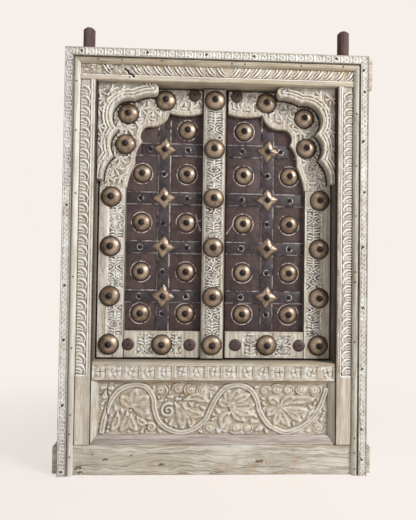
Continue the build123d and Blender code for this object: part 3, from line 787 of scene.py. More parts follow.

# Woods: run of the grain, tones, lime in hollows, on tops and along edges, painted shade with some soil in
# hollows, grain, knots and sway
WOODS = {
    "limed_jamb": ("Z", ((212, 206, 194), (183, 174, 156), (136, 121, 98)), (0.4, 0.08, 0.9), 0.6),
    "limed_head": ("X", ((208, 199, 183), (177, 165, 142), (126, 108, 82)), (0.25, 0.1, 0.85), 0.8),
    "strip_grey": ("Z", ((214, 211, 209), (192, 187, 183), (144, 135, 130)), (0.5, 0.05, 0.5), 0.5),
    "strip_pale": ("Z", ((222, 221, 213), (200, 196, 183), (150, 139, 119)), (0.55, 0.15, 0.7), 0.6),
    "strip_level": ("X", ((230, 229, 222), (208, 204, 192), (152, 140, 120)), (0.6, 0.24, 0.7), 0.6),
    "bare_level": ("X", ((196, 187, 170), (169, 157, 135), (118, 101, 77)), (0.5, 0.0, 0.5), 0.5, 1.2),
    "bare_upright": ("Z", ((208, 205, 195), (182, 176, 160), (132, 120, 100)), (0.4, 0.05, 0.5), 0.5, 1.2),
    "back_wood": ("X", ((150, 128, 106), (120, 98, 80), (84, 66, 54)), (0.0, -0.2, 0.0), 0.5, 1.3),
    "peg_wood": ("Z", ((104, 85, 83), (80, 63, 63), (50, 40, 41)), (0.0, -0.2, 0.0), 0.5, 1.2),
    "sill_wood": (
        "X", ((210, 207, 197), (182, 176, 160), (134, 120, 98)), (0.4, 0.16, 0.2), 0.5, 1.5,
        SILL_KNOTS, SILL_SWAY,
    ),
    "rail_wood": ("X", ((198, 190, 173), (171, 160, 137), (122, 105, 81)), (0.62, 0.02, 0.6), 0.6),
    "moulding_wood": ("X", ((194, 185, 178), (168, 157, 148), (122, 108, 99)), (0.3, 0.1, 0.3), 0.5, 1.3),
    "apron_wood": ("X", ((198, 190, 173), (170, 160, 138), (122, 105, 81)), (0.4, 0.02, 0.45), 0.6),
    "leaf_wood": ("Z", ((212, 207, 195), (178, 169, 152), (112, 96, 75)), (0.4, 0.22, 0.95), 1.0),
    "arch_wood": ("Z", ((214, 208, 195), (184, 174, 156), (124, 108, 86)), (0.5, 0.3, 0.45), 0.9),
    # A paler copy of the arch wood for the left spandrel: painted light on the lit side
    "lit_bracket_wood": ("Z", ((220, 215, 204), (192, 184, 168), (130, 115, 93)), (0.45, 0.25, 0.5), 0.8),
    "pale_leaf_wood": ("Z", ((226, 222, 213), (198, 191, 177), (132, 117, 96)), (0.5, 0.25, 0.9), 0.8),
}
wood = {name: old_wood(name, *row) for name, row in WOODS.items()}
brass = old_brass("old_brass")
nail_iron = black_iron("nail_iron", srgb(62, 54, 54), srgb(30, 25, 27))
disc_iron = black_iron("disc_iron", srgb(96, 76, 74), srgb(58, 44, 44), 0.3)
rusty_nail = black_iron("rusty_nail", srgb(92, 66, 58), srgb(52, 38, 36), 0.2)


# Running leaf of the jambs and the head


def crescents(relief, start, end, place, pitch, seed):
    """Hooked leaves one above another, each with thin veins beside it."""
    rng = np.random.default_rng(seed)
    unit = pitch / 24
    run = start
    while run < end:
        lean = rng.uniform(-0.9, 0.9)
        ways = ((13, 1.5), (14.5 + lean, 9), (11, 16.5), (3, 21.5), (-6, 20))
        hook = smooth([place(run + unit * along, across) for along, across in ways], 5)
        relief.ridge(hook, swelling(hook, (1.2, 3.6, 1.2)), 0.0, -CRESCENT_DEPTH, 2.2)
        for drop in (1.5, 8.0):
            ways = ((7 - drop, 1), (6.5 - drop, 7.5), (2.5 - drop * 0.7, 14))
            vein = smooth([place(run + unit * along, across) for along, across in ways], 4)
            relief.ridge(vein, np.linspace(2.0, 1.0, len(vein)), -0.4, -CRESCENT_DEPTH, 2.0)
        run += pitch * (1 + rng.uniform(-0.04, 0.04))


def slanted_leaves(relief, start, end, place, pitch, seed):
    """Slanting leaves along the head, each with two thinner ones beside it."""
    rng = np.random.default_rng(seed)
    run = start
    while run < end - pitch * 0.8:
        lean = rng.uniform(-0.8, 0.8)
        ways = ((0, 23), (4.5 + lean, 17), (9.5, 9.5), (18, 3))
        blade = smooth([place(run + along, across) for along, across in ways], 4)
        relief.ridge(blade, swelling(blade, (1.2, 3.7, 1.0), 0.45), 0.0, -BAND_DEPTH, 2.2)
        ways = ((9, 22), (13, 15), (20, 8))
        vein = smooth([place(run + along, across) for along, across in ways], 4)
        relief.ridge(vein, np.linspace(2.4, 0.9, len(vein)), -0.3, -BAND_DEPTH, 2.2)
        thin = [place(run - 1, 12), place(run + 4, 5), place(run + 9, 2)]
        relief.ridge(thin, 1.0, -0.8, -BAND_DEPTH, 2.0)
        run += pitch


# Mirrored leaves: points as shares across from the middle and along one repeat, then three radii
HERRINGBONE = (
    (((0.0, 0.0), (0.2, 0.12), (0.47, 0.16)), (1.0, 2.2, 0.8)),
    (((0.02, 0.28), (0.22, 0.44), (0.46, 0.42)), (1.0, 2.3, 0.8)),
    (((0.02, 0.58), (0.2, 0.76), (0.44, 0.7)), (1.0, 2.2, 0.8)),
    (((0.0, 0.1), (0.03, 0.5), (0.0, 0.95)), (0.9, 1.4, 0.8)),
)
CROSSING = (
    (((0.46, 0.02), (0.2, 0.26), (0.05, 0.5), (0.22, 0.76), (0.46, 0.96)), (1.0, 2.1, 1.0)),
    (((0.5, 0.32), (0.32, 0.5), (0.46, 0.7)), (0.9, 1.9, 0.9)),
    (((0.0, 0.08), (0.05, 0.26)), (0.9, 1.9, 0.8)),
    (((0.0, 0.74), (0.07, 0.92)), (0.9, 1.8, 0.8)),
)
HEARTS = (
    (((0.02, 0.05), (0.26, 0.16), (0.44, 0.46), (0.3, 0.74), (0.12, 0.66)), (1.1, 2.2, 1.0)),
    (((0.08, 0.32), (0.22, 0.46), (0.2, 0.56)), (0.9, 1.8, 0.8)),
    (((0.48, 0.7), (0.36, 0.9), (0.1, 0.98)), (0.9, 2.0, 0.9)),
)
MIRRORED_LEAVES = (HERRINGBONE, CROSSING, HEARTS)
LEAF_REPEAT = 21.0


def fan(relief, root, size, turn, base, lobes=5, spread=72):
    """A palmette: curved leaves fanned out from one root, the middle one longest."""
    root = np.array(root, float)
    for lean in np.linspace(-spread, spread, lobes):
        reach = size * (1 - 0.32 * abs(lean) / spread)
        points = [root]
        for share, bend in ((0.5, 0.0), (1.0, 0.28)):
            angle = math.radians(turn + lean * (1 + bend))
            points.append(root + reach * share * np.array((math.cos(angle), math.sin(angle))))
        stroke = size * 0.15
        lobe = smooth(points, 4)
        relief.ridge(lobe, swelling(lobe, (1.2, stroke, stroke * 0.75), 0.65), 0.0, base, 2.6)


def leafy_field(relief, low, high, depth, seed):
    """A field that dips softly below the face, filled with worn leaves that mirror across its middle."""
    relief.sink(low, high, depth, 4.0)
    low, high = np.array(low, float), np.array(high, float)
    upright = high[1] - low[1] >= high[0] - low[0]
    length, width = (high - low)[::-1] if upright else high - low
    rng = np.random.default_rng(abs(seed))
    repeats = max(1, round(length / LEAF_REPEAT))
    tall = length / repeats
    for number in range(repeats):
        motif = MIRRORED_LEAVES[rng.integers(3)]
        for hand in (-1, 1):
            for ways, radii in motif:
                stroke = []
                for across, along in ways:
                    run = tall * (number + along) + rng.uniform(-1.1, 1.1)
                    side = width * (0.5 + hand * across) + rng.uniform(-0.9, 0.9)
                    stroke.append(low + ((side, run) if upright else (run, side)))
                stroke = smooth(stroke, 5)
                widths = swelling(stroke, radii) * rng.uniform(0.8, 1.15)
                relief.ridge(stroke, widths, rng.uniform(-1.0, 0.0), -depth, 2.0)
    relief.roughen(0.7, 5, abs(seed) + 1, low, high)
    # Soil and painted shade on the deepest ground
    relief.soil_and_shade_ground(low, high, depth, 0.75, abs(seed))


def fill_with_leaves(relief, outline, far, margin, pitch, seed, root):
    """Palmettes in staggered rows inside an outline, all turned away from a root and clear of its edge."""
    rng = np.random.default_rng(seed)
    outline = np.array(outline, float)
    low, high = outline.min(axis=0), outline.max(axis=0)
    for row, z in enumerate(np.arange(low[1] + 4, high[1] - 2, pitch * 0.8)):
        for x in np.arange(low[0] + 3 + (row % 2) * pitch / 2, high[0] - 2, pitch):
            spot = np.array((x, z)) + rng.uniform(-1.5, 1.5, 2)
            turn = math.degrees(math.atan2(spot[1] - root[1], spot[0] - root[0])) + rng.uniform(-25, 25)
            clear = relief.at(far, spot[:1], spot[1:])[0] > margin
            if clear and inside(outline, spot[None, :])[0]:
                fan(relief, spot, pitch * 0.8, turn, -PALMETTE_DEPTH)
    relief.roughen(0.5, 5, seed + 1, low, high)
    # Soil and painted shade on the deepest ground
    relief.soil_and_shade_ground(low, high, 2.8, 0.4, seed)


def small_leaves(relief, low, high, base, seed):
    """Buds and small leaves wherever the ground of a carved field is still bare, the largest first."""
    rng = np.random.default_rng(seed)
    gap = 0.8
    for radius in (11.0, 8.5, 6.8, 5.4, 4.4):
        for z in np.arange(low[1] + radius, high[1] - radius, 2.4):
            for x in np.arange(low[0] + radius, high[0] - radius, 2.4):
                reach = radius + gap
                region, xs, zs = relief.window((x - reach, z - reach), (x + reach, z + reach))
                taken = (relief.height[region] > base + 0.6) & (np.hypot(xs - x, zs - z) < reach)
                if not taken.any():
                    turn = rng.uniform(0, 2 * math.pi)
                    way = np.array((math.cos(turn), math.sin(turn))) * radius * 0.42
                    spot = np.array((x, z))
                    widths = [radius * 0.62, radius * 0.3]
                    relief.ridge([spot - way, spot + way * 1.3], widths, -0.3, base, 2.8)
                    relief.groove([spot - way * 0.8, spot + way], 1.2, 1.6)


# Frame members

jamb_low, jamb_high = span("right_jamb")
bead_low, bead_high = span("right_bead")
strip_low, strip_high = span("right_strip")
head_high = span("head")[1]
rail_low, rail_high = span("mid_rail")
sill_high = span("sill")[1]
HALF_OPENING = jamb_low[0]
BAND_OUTER = bead_low[0]
BAND_INNER = HALF_OPENING + 11.0
LEAF_TOP_Y = jamb_low[1]
FACE_Y = bead_high[1]
STOP_Y = jamb_high[1]
SILL_TOP = span("apron_panel")[0][2]
HEAD_BOTTOM = span("right_spandrel")[1][2]
FRAME_TOP = strip_high[2]
HALF_FRAME = strip_high[0]
LEAF_STOP_Z = rail_low[2] + 12


def between_corners(low, high):
    """The four corners between two places of X and Z, from low left against the clock."""
    return [(low[0], low[1]), (high[0], low[1]), (high[0], high[1]), (low[0], high[1])]


def rectangle(node):
    """The four corners of a node's front, from low left against the clock."""
    low, high = span(node)
    return between_corners(low[::2], high[::2])


def front_of(node, level=0.0):
    """A drawing of carving over the whole front of a node."""
    low, high = span(node)
    return Relief(low[::2], high[::2], level)


def carve(node, relief, corners, wear, edge, body, slot, material):
    """A carved bar in place of a node, worn back from the node's front."""
    low, high = span(node)
    stock = Stock()
    stock.carved_bar(relief, corners, low[1] + wear, high[1], edge)
    stock.piece("carved_" + node, body, slot, material, [node])


def jamb(side, name, pitch, seed):
    """A jamb: running leaf, two thin fillets beside it, plain at its foot."""
    low_x, high_x = sorted((side * HALF_OPENING, side * BAND_OUTER))
    relief = Relief((low_x, SILL_TOP), (high_x, HEAD_BOTTOM), 0.0)
    band = sorted((side * (BAND_INNER + 0.5), side * (BAND_OUTER + 3)))
    relief.sink((band[0], LEAF_STOP_Z), (band[1], HEAD_BOTTOM + 4), BAND_DEPTH, 1.2)

    def place(run, across):
        return (side * (BAND_OUTER - across), run)

    crescents(relief, LEAF_STOP_Z + 8, HEAD_BOTTOM - 8, place, pitch, seed)
    for reach in (2.6, 7.4):
        x = side * (HALF_OPENING + reach)
        relief.groove([(x, LEAF_STOP_Z), (x, HEAD_BOTTOM)], 1.5, 1.5)
    # Painted shade along the bead and along the opening
    for x in (side * BAND_OUTER, side * HALF_OPENING):
        relief.dark_marks([(x, SILL_TOP), (x, HEAD_BOTTOM)], 2.6)
    relief.roughen(0.35, 14, seed + 1)
    relief.roughen(0.2, 4, seed + 2)
    stock = Stock()
    corners = between_corners((low_x, SILL_TOP), (high_x, HEAD_BOTTOM))
    stock.carved_bar(relief, corners, LEAF_TOP_Y + 0.5, STOP_Y)
    outer = sorted((side * BAND_OUTER, side * HALF_FRAME))
    stock.block((outer[0], FACE_Y, SILL_TOP), (outer[1], STOP_Y, HEAD_BOTTOM))
    stock.piece("carved_" + name, "frame", "limewashed_wood", wood["limed_jamb"], [name])


def head():
    """The head: slanting leaves from both sides, torn away at the left, with a split and small holes."""
    band_low, band_high = HEAD_BOTTOM + 11.5, HEAD_BOTTOM + 38
    reach = BAND_OUTER
    top = HEAD_BOTTOM + 36
    relief = Relief((-reach, HEAD_BOTTOM), (reach, top), 0.0)
    relief.sink((-reach - 3, band_low), (reach + 3, band_high), BAND_DEPTH, 1.2)

    def from_left(run, across):
        return (run, HEAD_BOTTOM + 11 + across)

    def from_right(run, across):
        return (-run, HEAD_BOTTOM + 11 + across)

    torn_end, middle, pitch = -196.0, 18.0, 24.0
    slanted_leaves(relief, torn_end, middle, from_left, pitch, 5)
    slanted_leaves(relief, -reach, -middle, from_right, pitch, 6)
    slanted_leaves(relief, -262, -224, from_left, pitch, 7)
    relief.roughen(1.7, 7, 8, (-reach, HEAD_BOTTOM + 9), (torn_end + 4, top))
    relief.roughen(0.9, 2.6, 9, (-reach, HEAD_BOTTOM + 12), (torn_end + 4, top))
    split = [(-213, 27), (-206, 22), (-204, 17), (-196, 13), (-192, 8)]
    split = [(x, HEAD_BOTTOM + z) for x, z in split]
    relief.groove(split, 3.0, 6.0)
    relief.dark_marks(split, 2.8)
    holes = ((-243, 24, 1.8), (-228, 33, 1.6), (-202, 6, 1.8), (-262, 20, 1.5), (-186, 30, 1.6))
    for x, z, wide in holes:
        hole = [(x, HEAD_BOTTOM + z), (x + 1.0, HEAD_BOTTOM + z + 0.6)]
        relief.groove(hole, wide, 4.0)
        relief.dark_marks(hole, wide * 1.3, 0.9)
    # Soil and painted shade on the deepest ground
    relief.soil_and_shade_ground((-reach, HEAD_BOTTOM + 10), (torn_end + 8, top), 3.0, 0.35, 12)
    relief.groove([(-reach, HEAD_BOTTOM + 8.5), (reach, HEAD_BOTTOM + 8.5)], 1.4, 1.0)
    relief.roughen(0.3, 12, 10)
    stock = Stock()
    corners = between_corners((-reach, HEAD_BOTTOM), (reach, top))
    stock.carved_bar(relief, corners, LEAF_TOP_Y + 0.5, STOP_Y)
    rebate = 8.0
    for side in (-1, 1):
        ends = sorted((side * reach, side * HALF_FRAME))
        stock.block((ends[0], FACE_Y, HEAD_BOTTOM), (ends[1], STOP_Y, top))
    stock.block((-HALF_FRAME, FACE_Y, top), (HALF_FRAME, STOP_Y, FRAME_TOP))
    stock.block((-HALF_FRAME, STOP_Y, HEAD_BOTTOM + rebate), (HALF_FRAME, head_high[1], FRAME_TOP))
    horn_y = FACE_Y + HORN_SETBACK
    stock.block((HALF_FRAME, horn_y, HEAD_BOTTOM), (head_high[0], head_high[1], FRAME_TOP))
    stock.piece("carved_head", "frame", "limewashed_wood", wood["limed_head"], ["head"])


def mid_rail():
    """The mid rail: roundels with four petals in square pockets, two bars between each pair."""
    count = 15
    relief = Relief((-HALF_OPENING, rail_low[2]), (HALF_OPENING, rail_high[2]), 0.0)
    pitch = 2 * HALF_OPENING / count
    middle = (rail_low[2] + rail_high[2]) / 2 - 1.0
    half, disc = 14.5, 12.4
    for number in range(count):
        x = -HALF_OPENING + (number + 0.5) * pitch
        relief.sink((x - half, middle - half), (x + half, middle + half), RAIL_DEPTH, 1.8)
        relief.ridge([(x, middle), (x, middle + 0.1)], disc, -0.2, -RAIL_DEPTH, 3.4)
        for petal in range(4):
            angle = math.radians(90 * petal + 20 * math.sin(number * 2.3))
            tip = (x + disc * 0.8 * math.cos(angle), middle + disc * 0.8 * math.sin(angle))
            relief.groove([(x, middle), tip], 2.5, 2.3)
        relief.groove(oval((x, middle), disc * 0.4, disc * 0.4, 0, 360), 1.3, 1.4)
        for bar in (-1.9, 1.9):
            edge = x + pitch / 2 + bar
            relief.groove([(edge, middle - half), (edge, middle + half)], 1.4, 1.5)
    for z in (rail_low[2] + 4.0, rail_high[2] - 5.0):
        relief.groove([(-HALF_OPENING, z), (HALF_OPENING, z)], 1.2, 0.9)
    relief.roughen(0.3, 9, 21)
    stock = Stock()
    rebate = 8.0
    corners = between_corners((-HALF_OPENING, rail_low[2]), (HALF_OPENING, rail_high[2]))
    stock.carved_bar(relief, corners, FACE_Y, STOP_Y, 2.0)
    stock.block((rail_low[0], STOP_Y, rail_low[2]), (rail_high[0], rail_high[1], rail_high[2] - rebate))
    stock.piece("carved_mid_rail", "frame", "weathered_wood", wood["rail_wood"], ["mid_rail"])


def sill():
    """The sill: a plain weathered beam with worn grain, checks, rot at one corner, and horns."""
    relief = Relief((-HALF_FRAME, 0), (HALF_FRAME, sill_high[2]), 0.0)
    grain = clouds(relief.height.shape, 3, 31)
    stretched = np.repeat(grain[:, ::24], 24, axis=1)[:, : grain.shape[1]]
    relief.height += 0.35 * blur(stretched, 3) + 0.5 * clouds(relief.height.shape, 30, 32)
    checks = (
        (-300, 22, -190, 19), (-150, 48, -20, 44), (40, 14, 170, 17), (190, 40, 320, 36), (-80, 8, 30, 6),
    )
    for x, z, end_x, end_z in checks:
        way = smooth([(x, z), ((x + end_x) / 2, (z + end_z) / 2 + 2.5), (end_x, end_z)], 8)
        relief.groove(way, 1.1, 1.6)
        relief.dark_marks(way, 1.3, 0.5)
    rot = (
        (-241, 34, 4.5), (-270, 45, 2.2), (-184, 43, 2.4), (-116, 22, 5.0), (-301, 15, 6.5), (-296, 6, 4.0),
    )
    for x, z, wide in rot:
        hole = [(x - wide * 0.9, z - 1), (x - wide * 0.2, z + wide * 0.4), (x + wide * 0.8, z + 1)]
        relief.groove(hole, wide * 0.7, 2.2)
        relief.dark_marks(hole, wide * 0.7, 0.7)
    relief.roughen(1.6, 6, 33, (-345, 0), (-285, 24))
    stock = Stock()
    top, horn_top, edge = sill_high[2], 60, 2.0
    front_depth = 30
    corners = between_corners((-HALF_FRAME, 0), (HALF_FRAME, top))
    stock.carved_bar(relief, corners, FACE_Y + 0.6, FACE_Y + front_depth, edge, 1.8)
    stock.block((-HALF_FRAME, FACE_Y + front_depth, 0), (HALF_FRAME, sill_high[1], top), edge)
    for side in (-1, 1):
        ends = sorted((side * HALF_FRAME, side * sill_high[0]))
        stock.block((ends[0], FACE_Y + HORN_SETBACK, 0), (ends[1], sill_high[1], horn_top), edge)
    stock.piece("worn_sill", "frame", "weathered_wood", wood["sill_wood"], ["sill"])


# Edge strips


def hooks(relief, place, run, half):
    """One square hook of the plain strips: a broken meander."""
    path = [(-8.2, -5.4), (-8.2, 5.4), (0, 5.4), (0, -4.8), (8.2, -4.8), (8.2, 5.2)]
    relief.ridge([place(run + a, half + b) for a, b in path], 1.6, 0.0, -STRIP_DEPTH, 3.0)


def ringlets(relief, place, run, half):
    """One ring and bar of the pale strips."""
    bar = [place(run - 8, half - 6.2), place(run - 8, half + 6.2)]
    relief.ridge(bar, 1.4, 0.0, -STRIP_DEPTH, 3.0)
    round_way = np.linspace(-2.4, 2.4, 13)
    ring = [place(run + 1.5 + 5.4 * math.cos(a), half + 5.4 * math.sin(a)) for a in round_way]
    relief.ridge(ring, 1.4, 0.0, -STRIP_DEPTH, 3.0)
    relief.ridge([place(run - 1.5, half - 3), place(run + 3, half + 3)], 1.2, -0.2, -STRIP_DEPTH, 2.4)


def leaf_chain(relief, place, run, half):
    """One bent leaf and two seeds of the pale side strips."""
    ways = ((-4.4, -5.2), (-1.4, -2), (1.4, 2), (4.4, 5.2))
    bent = smooth([place(run + along, half + across) for along, across in ways], 4)
    relief.ridge(bent, swelling(bent, (1.0, 2.1, 1.0)), 0.0, -STRIP_DEPTH, 2.4)
    for along, across in ((3.0, -4.2), (-3.0, 4.2)):
        seed = [place(run + along, half + across), place(run + along, half + across + 0.1)]
        relief.ridge(seed, 1.9, -0.2, -STRIP_DEPTH, 2.4)


def edge_strip(node, corners, upright, unit, pitch, material, seed):
    """A carved strip along the rim, with thin raised edges; its ends may be mitred."""
    points = np.array(corners, float)
    low, high = points.min(axis=0), points.max(axis=0)
    relief = Relief(low, high, 0.0)
    wide = high[0] - low[0] if upright else high[1] - low[1]
    border = np.array((1.8, 2) if upright else (2, 1.8))
    relief.sink(low + border, high - border, STRIP_DEPTH, 0.8)

    def place(run, across):
        return (low[0] + across, run) if upright else (run, low[1] + across)

    start, end = (low[1], high[1]) if upright else (low[0], high[0])
    for run in np.arange(start + pitch * 0.6, end - pitch * 0.4, pitch):
        unit(relief, place, run, wide / 2)
    # Painted shade along both long edges
    for across in (0.0, wide):
        relief.dark_marks([place(start, across), place(end, across)], 1.8, 0.7)
    relief.roughen(0.35, 12, seed)
    relief.roughen(0.25, 3, seed + 1)
    carve(node, relief, corners, STRIP_WEAR, 1.0, "frame", "strip_wood", material)


def edge_strips():
    """Every length of the carved strip, mitred at the two top corners."""
    inner = bead_high[0]
    top_inner = strip_high[2] - (HALF_FRAME - inner)
    strips = (
        ("left_upper_strip", True, hooks, 23.0, "strip_grey", 41, 2),
        ("left_middle_strip", True, leaf_chain, 11.0, "strip_pale", 43, None),
        ("left_lower_strip", True, hooks, 23.0, "strip_grey", 45, None),
        ("right_strip", True, leaf_chain, 11.0, "strip_pale", 47, 3),
        ("top_left_strip", False, ringlets, 21.0, "strip_level", 49, 0),
        ("top_right_strip", False, ringlets, 21.0, "strip_level", 51, 1),
    )
    for node, upright, unit, pitch, finish, seed, mitred in strips:
        corners = rectangle(node)
        if mitred is not None:
            corners[mitred] = (math.copysign(inner, corners[mitred][0]), top_inner)
        edge_strip(node, corners, upright, unit, pitch, wood[finish], seed)


# Apron


def apron():
    """The apron board: a wavy vine with blossoms, volutes and palmettes in its bends."""
    low = span("apron_panel")[0]
    side, foot = 14.0, 18.0
    left, bottom = low[0] + side, low[2] + foot
    base = -APRON_DEPTH
    relief = front_of("apron_panel", base)

    def at(x, z):
        return (left + x, bottom + z)

    def plump(start, end, wide, bow):
        """A plump leaf between two places, bowed to one side, with a cut vein."""
        start, end = np.array(at(*start)), np.array(at(*end))
        turn = np.array([-(end - start)[1], (end - start)[0]]) * bow
        path = smooth([start, (start + end) / 2 + turn, end], 6)
        wide *= 1.35
        relief.ridge(path, swelling(path, (2.0, wide, wide * 0.4), 0.62), 0.0, base, 2.6)
        relief.groove(path[4:-3], wide * 0.42, 2.6)
        relief.groove(path[3:-3], 1.2, 1.2)

    def bud(x, z, radius):
        """A plump bud with a curl cut in it and a small leaf folded over its back."""
        turn = 40.0 * (x % 9)
        relief.ridge([at(x, z), at(x + 0.1, z)], radius, -0.4, base, 2.4)
        relief.groove(curl(at(x, z), radius * 0.62, turn, 0.9), 1.9, 2.2)
        over = oval(at(x, z), radius * 1.12, radius * 0.95, turn + 60, turn + 190)
        relief.ridge(over, swelling(over, (1.0, 2.6, 1.0)), 0.0, base, 2.2)

    def volute(x, z, radius, start, hand):
        """A leaf end rolled into a spiral."""
        path = curl(at(x, z), radius, start, 1.6, hand)
        relief.ridge(path, np.linspace(4.6, 2.4, len(path)), 0.0, base, 2.8)

    # Blossom in the first bend
    root = (77, 62)
    for tip, wide in (((54, 84), 12.0), ((84, 98), 12.0), ((110, 84), 13.0), ((110, 50), 14.0)):
        plump(root, tip, wide, 0.06)
    plump((66, 53), (53, 11), 11.0, 0.12)
    plump((74, 46), (86, 12), 10.0, -0.15)
    plump((88, 40), (108, 26), 8.0, -0.2)
    plump((44, 50), (33, 12), 9.5, 0.1)
    volute(119, 17, 9.5, 120, -1)

    # Volute and hanging leaves in the first trough
    volute(157, 54, 17.0, 60, 1)
    plump((172, 72), (190, 18), 13.0, 0.1)
    plump((190, 66), (234, 44), 11.0, -0.15)
    plump((192, 78), (246, 76), 10.0, 0.15)
    plump((196, 44), (210, 16), 9.0, 0.2)
    for x, z, radius in ((141, 99, 12), (180, 103, 12), (208, 101, 13), (236, 99, 13)):
        bud(x, z, radius)

    # Palmette in the second bend
    root = (296, 64)
    tips = ((274, 78), (292, 102), (318, 100), (340, 90), (351, 68), (348, 46), (330, 32))
    for number, tip in enumerate(tips):
        plump(root, tip, 10.0, 0.06 if number < 4 else -0.06)
    plump((300, 52), (280, 18), 11.0, -0.15)
    for x, z, radius in ((310, 15, 13), (338, 12, 10), (252, 16, 12)):
        bud(x, z, radius)

    # Fan in the second trough
    root = (410, 64)
    tips = ((386, 46), (400, 24), (432, 22), (458, 32), (470, 56), (486, 80), (388, 82), (444, 84))
    for number, tip in enumerate(tips):
        plump(root, tip, 10.5, 0.08 if number % 2 else -0.08)
    buds = ((376, 99, 11), (404, 102, 12), (430, 101, 12), (462, 103, 12), (492, 100, 14), (500, 16, 14))
    for x, z, radius in buds:
        bud(x, z, radius)
    plump((476, 22), (504, 52), 9.0, 0.2)

    vine = [
        (9, 7), (15, 40), (29, 77), (51, 102), (84, 112), (110, 104), (124, 80), (126, 59), (135, 33),
        (153, 15), (182, 5), (212, 11), (241, 33), (255, 62), (270, 88), (288, 106), (318, 112), (343, 102),
        (358, 80), (365, 55), (380, 29), (398, 15), (427, 5), (463, 18), (489, 40), (507, 70), (518, 102),
    ]
    way = smooth([at(*point) for point in vine], 6)
    relief.groove(way, 9.0, 4.0)
    relief.ridge(way, 6.6, -0.5, base, 4.0)
    relief.groove(way, 2.6, 2.0)
    relief.height = np.maximum(relief.height, base - 1.0)
    small_leaves(relief, at(4, 2), at(520, 116), base, 63)

    crack = ((22, 116), (20, 96), (24, 80), (19, 58), (23, 34), (18, 10))
    crack = smooth([at(*point) for point in crack], 5)
    relief.groove(crack, 1.6, 3.2)
    relief.dark_marks(crack, 1.5, 0.8)
    relief.height = np.maximum(relief.height, base - 1.0)
    relief.roughen(0.4, 8, 61)
    relief.roughen(0.25, 3, 62)
    corners = rectangle("apron_panel")
    carve("apron_panel", relief, corners, 0.0, 1.2, "frame", "limewashed_wood", wood["apron_wood"])
    mouldings = (
        ("left", "bare_upright"),
        ("right", "bare_upright"),
        ("bottom", "moulding_wood"),
        ("top", "bare_level"),
    )
    for place, finish in mouldings:
        softened(f"apron_{place}_moulding", "frame", "weathered_wood", wood[finish])


# Cusped spandrels

SPANDREL_LOBES = (
    ((0.935, 0.0), (1.0, 0.055), (0.935, 0.112)),
    ((0.935, 0.112), (0.74, 0.125), (0.594, 0.165)),
    ((0.594, 0.165), (0.275, 0.245), (0.333, 0.480)),
    ((0.333, 0.480), (0.210, 0.610), (0.268, 0.749)),
    ((0.268, 0.749), (0.138, 0.857), (0.101, 1.0)),
)


def scalloped(lobes, place):
    """The points of an edge made of arcs, each through three shares of its board."""
    edge = []
    for lobe in lobes:
        points = [place(*share) for share in lobe]
        count = max(4, int(np.hypot(*(np.array(points[2]) - points[0])) / GRID_STEP))
        edge += three_point_arc(*points, count)[:-1]
    edge.append(place(*lobes[-1][-1]))
    return edge


def straight(*points):
    """Points along straight runs, close enough for a carved edge, without the first and the last."""
    edge = []
    for start, end in zip(points, points[1:]):
        start, end = np.array(start, float), np.array(end, float)
        count = max(2, int(np.hypot(*(end - start)) / GRID_STEP))
        edge += [tuple(start + (end - start) * number / count) for number in range(count)]
    return edge[1:]


def spandrel_edge(side, node):
    """The lobed lower edge of a spandrel."""
    low, high = span(node)
    wide, tall = high[0] - low[0], high[2] - low[2]

    def place(across, down):
        return (side * (HALF_OPENING - across * wide), high[2] - down * tall)

    return scalloped(SPANDREL_LOBES, place)


def spandrel(side, node, material):
    """A cusped bracket: lines that follow its lobes, and palmettes spreading from its corner."""
    low, high = span(node)
    edge = spandrel_edge(side, node)
    corner = (side * HALF_OPENING, high[2])
    foot = (side * HALF_OPENING, low[2])
    outline = edge + straight(edge[-1], foot, corner, edge[0])
    relief = front_of(node)
    far = relief.near(edge, 60.0)
    for reach, depth in ((8.0, 2.4), (15.0, 2.8)):
        relief.height -= depth * np.clip(1 - np.abs(far - reach) / 2.2, 0, 1)
    relief.height -= 2.8 * np.clip((far - 20) / 1.5, 0, 1)
    fill_with_leaves(relief, outline, far, 18.0, 25.0, 70 + side, corner)
    # Painted shade along the edge against the jamb
    relief.dark_marks([foot, corner], 4.2)
    relief.roughen(0.4, 9, 71 + side)
    relief.roughen(0.2, 3, 74 + side)
    stock = Stock()
    stock.cut_out(relief, outline, low[1] + 0.4, high[1], 2.2)
    stock.piece("carved_" + node, "frame", "limewashed_wood", material, [node])


# Leaves

ARCH_LOBES = (
    ((1.0, 0.231), (0.777, 0.262), (0.553, 0.239)),
    ((0.553, 0.239), (0.475, 0.338), (0.318, 0.380)),
    ((0.318, 0.380), (0.180, 0.440), (0.196, 0.534)),
    ((0.196, 0.534), (0.125, 0.625), (0.106, 0.752)),
    ((0.106, 0.752), (0.045, 0.860), (0.0, 1.0)),
)


